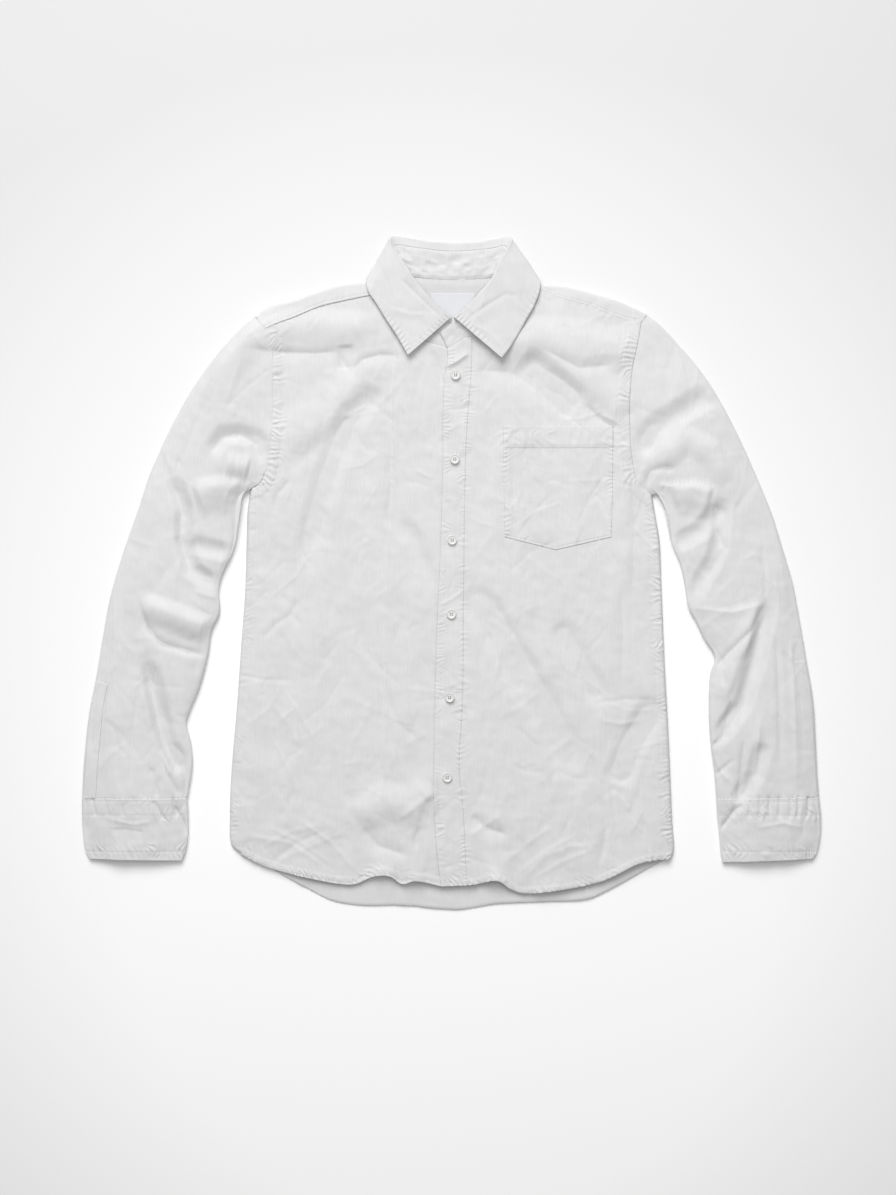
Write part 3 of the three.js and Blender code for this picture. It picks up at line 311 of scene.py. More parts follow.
FOLD_COLUMNS = ("lift", "fore", "aft", "path")
FOLDS = table(FOLD_COLUMNS, [
    # right front
    (4.5, 22, 32, [(-300, 195), (-268, 246), (-236, 282), (-180, 292), (-120, 290), (-84, 284)]),
    (-3, 14, 14, [(-124, 268), (-122, 238)]),
    (4, 42, 24, [(-205, 138), (-150, 180), (-124, 204), (-80, 240)]),
    (-4, 20, 24, [(-174, 10), (-148, 109), (-120, 180), (-90, 222)]),
    (-2.6, 16, 18, [(-63, 170), (-62, 62), (-42, 38), (-16, -30)]),
    (5, 26, 30, [(-112, -292), (-78, -268), (-44, -276), (-20, -250)]),
    # left front
    (5, 30, 30, [(62, 258), (100, 276), (150, 272), (185, 262), (216, 262)]),
    (-5, 20, 34, [(84, 254), (116, 232), (156, 196)]),
    (4, 34, 26, [(110, 262), (146, 240), (180, 210), (206, 182)]),
    (-5.4, 28, 26, [(20, -18), (47, -56), (82, -115), (118, -174), (144, -240)]),
    (-4, 20, 18, [(125, -60), (147, -97), (180, -156)]),
    (-5.5, 24, 22, [(196, -250), (212, -206), (246, -150)]),
    # right sleeve
    (-4.5, 16, 13, [(-282, 138), (-266, 160), (-248, 162), (-230, 156), (-217, 127)]),
    (4.5, 18, 20, [(-264, 128), (-236, 122)]),
    (-6, 14, 14, [(-326, 112), (-313, 74), (-314, 38), (-304, 4), (-272, -20)]),
    (6, 16, 36, [(-302, 94), (-272, 100), (-244, 96)]),
    (-4, 14, 14, [(-308, 34), (-248, 20)]),
    (7, 17, 24, [(-362, -36), (-320, -52), (-276, -70)]),
    (-8, 18, 13, [(-357, -104), (-343, -168), (-334, -204), (-314, -234)]),
    # left sleeve
    (-6, 22, 16, [(226, 138), (241, 166), (261, 180), (283, 194), (310, 208)]),
    (4.5, 18, 22, [(238, 130), (277, 156), (306, 142), (326, 104)]),
    (5.5, 12, 34, [(258, 94), (285, 98), (308, 92)]),
    (-4, 14, 15, [(260, 30), (294, 50), (318, 80)]),
    (-5, 14, 14, [(321, 90), (318, 50), (309, 15), (280, -36)]),
    (-8, 15, 14, [(374, -30), (356, -110), (342, -155), (312, -198)]),
    (3.5, 10, 20, [(368, -36), (336, -104), (320, -150)]),
    (-4.5, 15, 13, [(367, -200), (357, -236), (334, -272)]),
])

HEM_WAVES = table(("x", "width", "lift"), [
    (-178, 45, 1.5), (-81, 22, 6), (-40, 16, 4), (54, 22, 6.5), (120, 40, 2), (205, 45, 3),
])

# %% [markdown]
# ## Lines
#
# A seam is a smooth line through its few points. Blender's curves could hold it, but
# the cloth below has to ask two things of a line thousands of times: where its share
# of the length is, and how far away a place lies. NumPy answers both for a whole
# grid at once, so the lines stay plain arrays of points.

# %% Helpers for lines
def smooth_run(points, per_span=10):
    """A dense line through points: a centripetal Catmull-Rom curve."""
    p = np.array(points, float)
    q = np.vstack([2 * p[0] - p[1], p, 2 * p[-1] - p[-2]])
    spans = []
    for a, b, c, d in zip(q[:-3], q[1:-2], q[2:-1], q[3:]):
        t1 = np.linalg.norm(b - a) ** 0.5
        t2 = t1 + np.linalg.norm(c - b) ** 0.5
        t3 = t2 + np.linalg.norm(d - c) ** 0.5
        t = np.linspace(t1, t2, per_span, endpoint=False)[:, None]
        ab = (t1 - t) / t1 * a + t / t1 * b
        bc = (t2 - t) / (t2 - t1) * b + (t - t1) / (t2 - t1) * c
        cd = (t3 - t) / (t3 - t2) * c + (t - t2) / (t3 - t2) * d
        abc = (t2 - t) / t2 * ab + t / t2 * bc
        bcd = (t3 - t) / (t3 - t1) * bc + (t - t1) / (t3 - t1) * cd
        spans.append((t2 - t) / (t2 - t1) * abc + (t - t1) / (t2 - t1) * bcd)
    return np.vstack([*spans, p[-1:]])


def walked(line):
    """Length walked along a line to each of its points."""
    return np.r_[0, np.cumsum(np.linalg.norm(np.diff(line, axis=0), axis=1))]


def along(line, share):
    """Places at shares of a line's length."""
    line = np.asarray(line, float)
    length = walked(line)
    return np.stack([np.interp(np.asarray(share) * length[-1], length, c) for c in line.T], -1)


def by_rows(points, share, per_span=10):
    """Places at shares of a table's rows, so that two columns stay side by side."""
    line = smooth_run(points, per_span)
    at = np.asarray(share) * (len(line) - 1)
    return np.stack([np.interp(at, np.arange(len(line)), c) for c in line.T], -1)


def lean(line, offset):
    """The line moved sideways, to its left where the offset is above zero."""
    line = np.asarray(line, float)
    ahead = np.gradient(line, axis=0)
    ahead /= np.linalg.norm(ahead, axis=1, keepdims=True)
    return line + offset * np.stack([-ahead[:, 1], ahead[:, 0]], -1)


def nearest(line, x, y, reach=1e9):
    """Distance of places to a line, and the side, share and length where they meet it."""
    line = np.asarray(line, float)
    shape = x.shape
    x, y = x.ravel(), y.ravel()
    best, side = np.full(x.size, float(reach)), np.ones(x.size)
    share, length = np.zeros(x.size), np.zeros(x.size)
    so_far = 0.0
    for i, (a, b) in enumerate(zip(line[:-1], line[1:])):
        step = b - a
        span = np.hypot(*step)
        low, high = np.minimum(a, b) - reach, np.maximum(a, b) + reach
        near = np.flatnonzero((x > low[0]) & (x < high[0]) & (y > low[1]) & (y < high[1]))
        dx, dy = x[near] - a[0], y[near] - a[1]
        t = np.clip((dx * step[0] + dy * step[1]) / span**2, 0, 1)
        ox, oy = dx - step[0] * t, dy - step[1] * t
        gap = np.hypot(ox, oy)
        closer = gap < best[near]
        which = near[closer]
        best[which] = gap[closer]
        side[which] = np.where(step[0] * oy - step[1] * ox >= 0, 1, -1)[closer]
        share[which] = (i + t[closer]) / (len(line) - 1)
        length[which] = so_far + t[closer] * span
        so_far += span
    return (best.reshape(shape), side.reshape(shape), share.reshape(shape), length.reshape(shape))


def unit(v):
    """Vectors of length 1."""
    return v / np.maximum(np.linalg.norm(v, axis=-1, keepdims=True), 1e-9)


def ease(t):
    """0 to 1, slow at both ends."""
    t = np.clip(t, 0, 1)
    return t * t * (3 - 2 * t)


def quarter(distance, reach):
    """A quarter round: 0 at a fold, 1 from a reach on."""
    return np.sqrt(1 - (1 - np.clip(distance / reach, 0, 1)) ** 2)


def groove(distance, width):
    """A soft groove or ridge of height 1, centred on distance 0."""
    return np.exp(-((distance / width) ** 2))


# %% [markdown]
# ## The height of the cloth
#
# The top of the uppermost cloth is calm first: it rises roundly from each side fold
# and holds a little air. Broad folds are added to that, each one a crest or
# trough with its own width on either side. The same few numbers give a soft form
# that the whole garment shares, so panels meet at their seams of themselves.

# %% Broad form
EDGE_TOP = 5.4
EDGE_ROUND = {"rise": 0.9, "reach": 6.0}
PUFF = {"body": 2.2, "sleeve": 7.2, "reach": 45.0}
NECK_LOW = {"at": (0, 330), "drop": 2.6, "from": 95, "to": 190}  # folds lie flatter by the collar
REGAINED = {"round": 0.7, "air": 0.3}  # shares of the neck's drop made up for further in
SLEEVE_AIR = {"from": 215, "over": 60}  # out from here the cloth holds a sleeve's air
HEM_REACH = 42.0
HEM_DROP = 1.2
HEM_HALF = 265  # the hem's waves stay within this of the middle
FOLD_ENDS = {"steep": 4.5, "least": 0.25}  # a fold fades along its path
FOLD_FADE = {"reach": 14, "least": 0.1}  # and towards the edge of the cloth
EDGE_LEAST = 0.2  # of the edge's round that every fold leaves
FOLD_LINES = []
for wearer_side in ("right", "left"):
    outline = OUTLINE[wearer_side]
    tube = SLEEVE[wearer_side] + CUFF[wearer_side][1:]
    FOLD_LINES += [
        smooth_run(outline["shoulder"], 4),
        smooth_run(outline["side"], 4),
        smooth_run([outline["shoulder"][-1]] + [row["outer"] for row in tube], 3),
        smooth_run([outline["armhole"][-1]] + [row["inner"] for row in tube], 3),
    ]
FRONT_HEM = smooth_run(OUTLINE["right"]["hem"] + OUTLINE["left"]["hem"][::-1], 4)


def soft_fold(q):
    """The section of a soft fold: 1 at the crest, 0 from q = 1 on."""
    return np.maximum(0, 1 - q * q) ** 2


def crisp_fold(q):
    """The section of a crease, sharp at the crest."""
    return np.maximum(0, 1 - q) ** 2


def fold_height(rows, x, y, form):
    """Sum of folds: lift at the path, fading to fore on its left and aft on its right."""
    total = np.zeros(x.shape)
    for row in rows:
        gap, side, share, _ = nearest(row["path"], x, y, max(row["fore"], row["aft"]))
        width = np.where(side > 0, row["fore"], row["aft"])
        ends = ease(FOLD_ENDS["steep"] * np.minimum(share, 1 - share) + FOLD_ENDS["least"])
        total += row["lift"] * form(gap / width) * ends
    return total


def hem_height(x, y):
    """The front hem's waves, and how it drops to the back between them."""
    gap, _, _, _ = nearest(FRONT_HEM, x, y, HEM_REACH)
    waves = sum(w["lift"] * soft_fold((x - w["x"]) / w["width"]) for w in HEM_WAVES)
    return (1 - gap / HEM_REACH) ** 2 * (waves - HEM_DROP)


def inside_folds(x, y):
    """How far a place lies inside the nearest side fold."""
    reach = PUFF["reach"]
    return np.minimum.reduce([nearest(line, x, y, reach)[0] for line in FOLD_LINES])


def neck_drop(x, y):
    """How much lower the cloth lies towards the collar."""
    away = np.hypot(x - NECK_LOW["at"][0], y - NECK_LOW["at"][1])
    return NECK_LOW["drop"] * ease((NECK_LOW["to"] - away) / (NECK_LOW["to"] - NECK_LOW["from"]))


def faded(inside, fade):
    """A share that grows from the edge of the cloth inwards."""
    return np.clip(inside / fade["reach"] + fade["least"], 0, 1)


def broad_form(x, y):
    """The calm top with its broad folds, and how far inside the edge each place lies."""
    inside = inside_folds(x, y)
    rounded = quarter(inside, EDGE_ROUND["reach"])
    puffed = 1 - (1 - np.clip(inside / PUFF["reach"], 0, 1)) ** 2
    outwards = ease((np.abs(x) - SLEEVE_AIR["from"]) / SLEEVE_AIR["over"])
    air = PUFF["body"] + (PUFF["sleeve"] - PUFF["body"]) * outwards
    low = neck_drop(x, y)
    calm = (EDGE_TOP - low + (EDGE_ROUND["rise"] + REGAINED["round"] * low) * rounded
            + (air + REGAINED["air"] * low) * puffed)
    body = np.where(np.abs(x) < HEM_HALF, hem_height(x, y), 0)
    free = (fold_height(FOLDS, x, y, soft_fold) + body) * faded(inside, FOLD_FADE)
    return np.maximum(EDGE_TOP - low + EDGE_LEAST * rounded, calm + free), inside


# %% [markdown]
# ## Creases and crumple
#
# Washed cotton has sharper creases between its soft folds. The ones that give this
# shirt its look are listed one by one, crisp at the crest and fading at both ends. Under
# them lies crumple without a pattern: five scales of soft noise, and over a thousand
# short creases thrown by a seeded generator, so every run makes the same shirt.

# %% Listed creases
CREASES = table(FOLD_COLUMNS, [
    # right front
    (-2.2, 9, 20, [(-238, 263), (-200, 259), (-160, 258), (-134, 260)]),
    (-2.4, 9, 18, [(-134, 262), (-124, 241), (-116, 237), (-104, 250), (-84, 256), (-57, 255)]),
    (-1.2, 8, 8, [(-189, 109), (-204, 91), (-207, 68)]),
    (-1.2, 9, 9, [(-222, -80), (-207, -62), (-189, -50), (-178, -32)]),
    (-1.1, 8, 10, [(-89, -91), (-80, -127), (-71, -156), (-60, -180), (-36, -198)]),
    (-1.0, 14, 14, [(-207, -139), (-205, -180), (-208, -221)]),
    (-0.7, 5, 7, [(-248, -121), (-220, -126), (-189, -127)]),
    (1.3, 7, 9, [(-18, -257), (-42, -276), (-60, -290)]),
    (1.0, 6, 8, [(-18, -257), (-34, -286), (-42, -310)]),
    (-1.1, 7, 7, [(-18, -257), (-30, -300), (-38, -351)]),
    (0.9, 6, 8, [(-176, -292), (-140, -318), (-112, -351)]),
    (0.8, 6, 8, [(-237, -310), (-190, -318), (-150, -345)]),
    (-0.8, 6, 6, [(-215, -345), (-180, -318), (-140, -300)]),
    # left front
    (0.9, 5, 7, [(200, 174), (188, 180), (176, 186)]),
    (0.8, 4, 6, [(-12, -38), (2, -31), (15, -21)]),
    (-1.3, 7, 12, [(200, -21), (203, -70), (202, -127)]),
    (-0.8, 6, 8, [(170, -154), (205, -149), (241, -150)]),
    (0.8, 6, 8, [(176, -174), (200, -178), (224, -174)]),
    (-1.0, 7, 9, [(191, -251), (192, -280), (200, -327)]),
    (-0.9, 6, 6, [(227, -292), (231, -310), (233, -327)]),
    (-0.9, 8, 8, [(43, -227), (40, -248), (35, -268)]),
    (1.0, 8, 8, [(58, -286), (40, -298), (23, -310)]),
    (1.2, 9, 12, [(82, -363), (112, -333), (140, -322), (165, -322)]),
    (-0.7, 10, 8, [(73, 145), (74, 60), (72, -32)]),
    (-0.9, 12, 9, [(212, 145), (216, 60), (214, -32)]),
    # pocket
    (-0.8, 6, 6, [(188, 60), (178, 84), (170, 92)]),
    (-0.7, 8, 6, [(86, 150), (84, 110), (90, 62)]),
    # right sleeve
    (-1.3, 12, 9, [(-284, 209), (-305, 160), (-325, 115)]),
    (1.1, 6, 6, [(-300, -22), (-288, -27), (-275, -30)]),
    (-1.2, 7, 7, [(-340, -239), (-344, -255), (-347, -268)]),
    (-0.9, 9, 9, [(-402, -170), (-390, -200), (-392, -240)]),
    (-3.0, 10, 9, [(-366, -34), (-358, -64), (-340, -84), (-312, -92), (-288, -98)]),
    (-2.4, 11, 8, [(-358, -100), (-350, -150), (-338, -196), (-322, -236)]),
    (-1.8, 7, 7, [(-345, -200), (-334, -236), (-318, -262)]),
    (-1.2, 10, 8, [(-412, -90), (-420, -150), (-424, -210)]),
    (-2.2, 9, 9, [(-330, 116), (-316, 70), (-318, 36), (-306, 2)]),
    (-2.4, 10, 7, [(-284, 138), (-268, 158), (-248, 161), (-228, 150)]),
    # left sleeve
    (-0.9, 5, 6, [(297, 187), (305, 186), (312, 187)]),
    (-2.0, 9, 8, [(229, 103), (235, 119), (250, 123), (265, 121)]),
    (1.6, 8, 9, [(245, 103), (258, 101), (270, 103)]),
    (-1.2, 6, 8, [(365, 32), (369, 0), (370, -32)]),
    (1.2, 6, 7, [(309, -215), (318, -235), (327, -245)]),
    (-1.6, 9, 8, [(365, -204), (359, -233), (348, -257), (336, -269), (327, -304)]),
    (1.6, 8, 14, [(286, -42), (330, -47), (371, -36)]),
    (-3.2, 12, 9, [(371, -34), (353, -68), (327, -94), (314, -110)]),
    (-1.8, 12, 8, [(318, -112), (330, -150), (322, -190), (308, -208)]),
    (-1.8, 8, 8, [(306, 60), (322, 28), (300, -12)]),
    # by the hem, beside the placket
    (-3.0, 14, 15, [(24, -286), (44, -302), (66, -308)]),
    (-2.4, 16, 14, [(-104, -300), (-86, -322), (-50, -334)]),
    (-2.4, 12, 8, [(-22, -262), (-34, -286), (-44, -330)]),
    (0.7, 7, 6, [(60, -344), (92, -318), (120, -298)]),
    (0.8, 6, 7, [(78, -356), (112, -328), (146, -310)]),
    (0.7, 6, 6, [(98, -360), (132, -340), (166, -326)]),
    (-2.0, 14, 8, [(176, -344), (184, -300), (176, -262)]),
    (0.6, 6, 6, [(-226, -326), (-190, -306), (-150, -296)]),
    (0.6, 6, 6, [(-214, -300), (-176, -318), (-140, -344)]),
    (0.5, 5, 6, [(-204, -340), (-164, -322), (-122, -304)]),
    # chest, under the left leaf
    (-3.4, 30, 34, [(30, 238), (70, 236), (112, 208), (150, 176)]),
    (-1.6, 8, 10, [(160, 196), (178, 178), (196, 168)]),
    (-2.0, 14, 12, [(110, 262), (150, 240), (190, 244)]),
    # top of the placket
    (2.6, 13, 6, [(-4, 242), (8, 248), (20, 257)]),
    (-1.8, 5, 6, [(-21, 262), (-13, 234), (-9, 220)]),
    # cuffs
    (-3.2, 8, 6, [(-349, -268), (-343, -280), (-337, -292)]),
    (-3.2, 8, 6, [(-325, -274), (-316, -292), (-309, -311)]),
    (-2.8, 6, 8, [(344, -272), (331, -284), (318, -303)]),
    (1.0, 6, 7, [(-400, -290), (-372, -296), (-350, -292)]),
    (0.9, 6, 8, [(360, -300), (392, -294), (414, -300)]),
    # right sleeve above the cuff
    (-2.4, 8, 7, [(-352, -229), (-348, -246), (-345, -263)]),
    (-2.6, 7, 7, [(-316, -222), (-312, -242), (-310, -263)]),
    (1.6, 7, 7, [(-345, -200), (-336, -220), (-328, -240)]),
    (1.8, 9, 12, [(-388, -20), (-401, -140), (-405, -240)]),
    (-1.7, 9, 9, [(-366, -132), (-373, -190), (-376, -250)]),
    # left sleeve above the cuff
    (-2.6, 7, 8, [(345, -196), (342, -230), (338, -263)]),
    (1.9, 8, 8, [(363, -170), (360, -215), (355, -258)]),
    (-2.0, 10, 8, [(382, -76), (386, -150), (387, -226)]),
    (1.8, 9, 8, [(400, -76), (404, -160), (407, -248)]),
    (-1.9, 5, 5, [(304, -206), (316, -198), (329, -190)]),
    (-1.9, 5, 5, [(306, -242), (319, -232), (332, -220)]),
])

# pleats below the cuff seams
CREASES += table(FOLD_COLUMNS, [(-2.2, 4, 5, [(x, -262), (x + 1, -276), (x - 1, -290)])
                                for x in (351, 363, 374, 386, 399, 408, 420)])
CREASES += table(FOLD_COLUMNS, [(-1.5, 5, 5, [(x, -264), (x + 2, -276), (x + 4, -287)])
                                for x in (-421, -406, -388, -371, -327)])

# %% Crumple without a pattern
CRUMPLE_SEED = 41
NOISE = table(("cell", "longer", "height", "turn"), [
    (24, 5.0, 0.9, 0.08), (44, 1.0, 0.8, 0.9), (16, 1.6, 0.46, 0.3),
    (8.5, 1.4, 0.26, 2.0), (5.2, 1.0, 0.07, 1.1),
])
THROWN = {"count": 1200, "shortest": 12, "longest": 85, "height": 0.6, "weakest": 0.3,
          "narrow": 2.6, "wide": 11, "bend": 0.25}
LENGTHWAYS = {"share": 0.6, "spread": 0.45}  # most creases run about along the cloth's length
ANY_WAY = 1.5  # the others lean this far at most
SHIRT_BOX = ((-440, -400), (440, 360))
LATTICE = 128  # random values each way, before the noise repeats
LATTICE_SHIFT = 500  # cells, so no place of the shirt has a negative one


def noise(x, y, cell, turn, seed, longer=1.0):
    """Soft noise from -1 to 1, blended between random values a cell apart."""
    lattice = np.random.default_rng(seed).uniform(-1, 1, (LATTICE, LATTICE))
    u = (x * math.cos(turn) - y * math.sin(turn)) / cell + LATTICE_SHIFT
    v = (x * math.sin(turn) + y * math.cos(turn)) / (cell * longer) + LATTICE_SHIFT
    i, j = np.floor(u).astype(int), np.floor(v).astype(int)
    s, t = ease(u - i), ease(v - j)
    i, j, k, m = (index % LATTICE for index in (i, j, i + 1, j + 1))
    low = lattice[i, j] * (1 - s) + lattice[k, j] * s
    high = lattice[i, m] * (1 - s) + lattice[k, m] * s
    return low * (1 - t) + high * t


def throw_creases():
    """Short bent creases at random places of the shirt."""
    dice = np.random.default_rng(CRUMPLE_SEED)
    rows = []
    for _ in range(THROWN["count"]):
        middle = dice.uniform(*SHIRT_BOX)
        lengthways = dice.uniform() < LENGTHWAYS["share"]
        turn = math.pi / 2 + (dice.normal(0, LENGTHWAYS["spread"]) if lengthways
                              else dice.uniform(-ANY_WAY, ANY_WAY))
        longer = (THROWN["longest"] / THROWN["shortest"]) ** dice.uniform()
        half_length = 0.5 * THROWN["shortest"] * longer
        arm = half_length * np.array([math.cos(turn), math.sin(turn)])
        bend = dice.uniform(-THROWN["bend"], THROWN["bend"]) * half_length
        bend = bend * np.array([-math.sin(turn), math.cos(turn)])
        width = dice.uniform(THROWN["narrow"], THROWN["wide"], 2)
        rows.append({
            "path": [middle - arm, middle + bend, middle + arm],
            "lift": THROWN["height"] * dice.uniform(THROWN["weakest"], 1.0) * dice.choice([-1, 1]),
            "fore": width[0], "aft": width[1],
        })
    return rows


THROWN_CREASES = throw_creases()


def crumple(x, y):
    """Height of the crumple that has no pattern."""
    total = fold_height(THROWN_CREASES, x, y, crisp_fold)
    for i, row in enumerate(NOISE):
        swell = noise(x, y, row["cell"], row["turn"], CRUMPLE_SEED + i, row["longer"])
        total += row["height"] * swell
    return total


print("creases by hand:", len(CREASES), "and thrown:", len(THROWN_CREASES))

# %% [markdown]
# ## Puckered seams
#
# Thread does not shrink in the wash and cotton does, so cloth along a seam gathers
# into small ridges square to it. One table lists the seams, with how far the ridges
# stand apart and how tall they are. Their size wanders along the seam, because no
# two centimetres of a real one are alike.

# %% Seams
ARMHOLE_BAND, SIDE_BAND, HEM_BAND = 13.0, 9.5, 6.5  # widths of the turned seams
POCKET_HEM = 25.0
CUFF_SEAM_Y = -266.5
CUFF_SPAN = {"right": (-434, -309), "left": (313, 436)}


def pocket_outline():
    """The pocket's edge, from the top near the placket round its foot to the top again."""
    middle, foot = POCKET["point"]["x"], POCKET["point"]["y"]
    spread = POCKET["lean"]
    return np.array([
        (POCKET["left"], POCKET["top"]), (POCKET["left"] - spread, POCKET["bottom"]),
        (middle, foot),
        (POCKET["right"] + spread, POCKET["bottom"]), (POCKET["right"], POCKET["top"]),
    ], float)


def pocket_level(up=0.0):
    """A straight run across the pocket, up from the foot of its hem."""
    y = POCKET["top"] - POCKET_HEM + up
    return np.array([(POCKET["left"], y), (POCKET["right"], y)], float)


def cuff_level(y, side):
    """A straight run across a flattened cuff at a height y."""
    return np.array([(x, y) for x in CUFF_SPAN[side]], float)


PUCKER_COLUMNS = ("line", "centre", "pitch", "height", "reach", "slant")
PUCKERS = []
for wearer_side, inward, side_height in (("right", 1, 0.4), ("left", -1, 0.95)):
    outline = OUTLINE[wearer_side]
    PUCKERS += table(PUCKER_COLUMNS, [
        (smooth_run(outline["armhole"], 4), inward * 7.5, 5.6, 0.72, 8, 0.05),
        (smooth_run(outline["side"], 4), inward * 5.0, 5.2, side_height, 7, 0.0),
        (smooth_run(outline["yoke_seam"], 4), 0, 7.0, 0.34, 5, 0.0),
        (cuff_level(-267, wearer_side), 0, 6.0, 0.5, 8, 0.03),
        (cuff_level(-285, wearer_side), 0, 6.0, 0.5, 8, 0.03),
        (cuff_level(-328, wearer_side), 0, 6.0, 0.6, 8, 0.03),
    ])
PUCKERS += table(PUCKER_COLUMNS, [
    (FRONT_HEM, 4.0, 6.2, 1.0, 7, 0.12),
    (smooth_run(PLACKET_EDGE, 4), 5.0, 4.8, 0.42, 4.5, 0.0),
    (smooth_run(PLACKET_STITCH, 4), 0, 5.4, 0.5, 6, 0.0),
    (pocket_outline(), 2.0, 6.0, 0.4, 5, 0.0),
    (pocket_level(), 10, 13.0, 0.4, 12, 0.0),
])

# how the puckers of every seam wander along it: cell and seed of the noise, and its share
WANDER = {"place": {"cell": 13, "seed": 200, "share": 1.3},
          "fine": {"cell": 2.8, "seed": 300, "share": 0.5, "longer": 2.5},
          "strength": {"cell": 11, "seed": 400, "share": 0.75, "mean": 0.6, "least": 0.1},
          "middle": {"cell": 7, "seed": 500, "share": 2.2}}
PUCKER_SPAN = 2.2  # reaches of a pucker after which nothing is left of it


def wandering(kind, seam, along_seam, offset):
    """Noise of its own for each seam, as uneven as its row says."""
    row = WANDER[kind]
    longer = row.get("longer", 1.0)
    return row["share"] * noise(along_seam, offset, row["cell"], 0, row["seed"] + seam, longer)


def pucker_height(x, y):
    """Height of the small ridges square to all seams."""
    total = np.zeros(x.shape)
    for i, seam in enumerate(PUCKERS):
        reach = abs(seam["centre"]) + PUCKER_SPAN * seam["reach"]
        gap, side, _, length = nearest(seam["line"], x, y, reach)
        offset, flat = gap * side, 0 * length
        turns = length / seam["pitch"] + seam["slant"] * offset
        turns += wandering("place", i, length, offset)
        swing = np.sin(2 * math.pi * turns) + wandering("fine", i, length, offset)
        strength = WANDER["strength"]["mean"] + wandering("strength", i, length, flat)
        strength = np.maximum(WANDER["strength"]["least"], strength)
        middle = seam["centre"] + wandering("middle", i, length, flat)
        fade = groove(offset - middle, seam["reach"]) * (gap < reach)
        total += seam["height"] * strength * swing * fade
    return total


CREASE_FADE = {"reach": 6, "least": 0.15}
LOWEST = 1.2  # no crease sinks further below the edge of the cloth


def cloth_top(x, y):
    """Height of the uppermost cloth with everything on it."""
    form, inside = broad_form(x, y)
    detail = fold_height(CREASES, x, y, crisp_fold) + crumple(x, y)
    total = form + detail * faded(inside, CREASE_FADE) + pucker_height(x, y)
    return np.maximum(total, EDGE_TOP - neck_drop(x, y) - LOWEST)


print("puckered seams:", len(PUCKERS))

# %% [markdown]
# ## Making a panel
#
# A panel is a grid of points for its outer face. Its inner face is the same grid
# moved in along the normals, with every third row and column only, because nobody
# sees fine creases from inside. The cut or turned edge between them is a small half
# round, so it catches light as folded cotton does.

# %% A sheet of cloth as a closed shell
CLOTH = 0.5


def grid_normals(grid, wrap=False):
    """Unit normals of a grid: down its rows crossed with along its columns."""
    down = np.gradient(grid, axis=0)
    if wrap:
        across = (np.roll(grid, -1, axis=1) - np.roll(grid, 1, axis=1)) / 2
    else:
        across = np.gradient(grid, axis=1)
    return unit(np.cross(down, across))


def fitted(count, coarse):
    """The next count for which every coarse-th line falls on the last one."""
    return count + (-(count - 1)) % coarse


def ring_of(index, wrap):
    """Border indices of a grid of indices, as closed loops."""
    if wrap:
        return [index[0], np.roll(index[-1][::-1], 1)]
    return [np.r_[index[0], index[1:, -1], index[-1, -2::-1], index[-2:0:-1, 0]]]


def quads(index, wrap):
    """Faces between the lines of a grid of indices."""
    right = np.roll(index, -1, axis=1) if wrap else index[:, 1:]
    left = index if wrap else index[:, :-1]
    corners = (left[:-1], left[1:], right[1:], right[:-1])
    return np.stack([corner.ravel() for corner in corners], -1)


def zip_rings(outer, inner, coarse):
    """Faces between a fine closed ring and one with every coarse-th point of it."""
    faces = []
    split = (coarse + 1) // 2
    for i in range(len(inner)):
        a, b = inner[i], inner[(i + 1) % len(inner)]
        fine = [outer[(i * coarse + k) % len(outer)] for k in range(coarse + 1)]
        for k in range(coarse):
            faces.append((fine[k], fine[k + 1], a if k < split else b))
        faces.append((fine[split], b, a))
    return faces


def cloth_shell(name, grid, material, thickness=CLOTH, wrap=False, coarse=3):
    """A closed shell with the grid as its outer face; the grid's normals face out."""
    rows, columns = grid.shape[:2]
    normals = grid_normals(grid, wrap)
    low = (grid - normals * thickness)[::coarse, ::coarse]
    outer_index = np.arange(rows * columns).reshape(rows, columns)
    inner_index = rows * columns + np.arange(low.shape[0] * low.shape[1]).reshape(low.shape[:2])
    points = [grid.reshape(-1, 3), low.reshape(-1, 3)]
    faces = [quads(outer_index, wrap), quads(inner_index, wrap)[:, ::-1]]
    extra = []
    start = rows * columns + low.shape[0] * low.shape[1]
    flat_points, flat_normals = grid.reshape(-1, 3), normals.reshape(-1, 3)
    for ring, low_ring in zip(ring_of(outer_index, wrap), ring_of(inner_index, wrap)):
        edge = flat_points[ring]
        ahead = np.roll(edge, -1, axis=0) - np.roll(edge, 1, axis=0)
        out = unit(np.cross(flat_normals[ring], ahead))
        middle = edge + (out - flat_normals[ring]) * thickness / 2
        middle_index = start + np.arange(len(ring))
        start += len(ring)
        points.append(middle)
        next_ring, next_middle = np.roll(ring, -1), np.roll(middle_index, -1)
        extra.append(np.stack([ring, next_ring, next_middle, middle_index], -1))
        extra.append(np.array(zip_rings(middle_index, low_ring, coarse)))
    mesh = bpy.data.meshes.new(name)
    vertices = np.concatenate(points)
    vertices[:, 2] = np.maximum(vertices[:, 2], 0)  # the floor holds the lowest cloth up
    polygons = [tuple(face) for block in faces + extra for face in block.tolist()]
    mesh.from_pydata((vertices * MM).tolist(), [], polygons)
    mesh.polygons.foreach_set("use_smooth", [True] * len(mesh.polygons))
    mesh.update()
    piece = bpy.data.objects.new(name, mesh)
    bpy.context.scene.collection.objects.link(piece)
    mesh.materials.append(material)
    return piece


# %% [markdown]
# ## Cotton, label, thread and buttons
#
# White cotton shirting is matt, with a weave too fine to see at arm's length and a
# grain of lint and slubs that breaks its shading. Small shared node groups make the
# weave and the lint, and each material plugs their outputs into its own Principled
# shader: a normal for the weave, a mask for the lint.

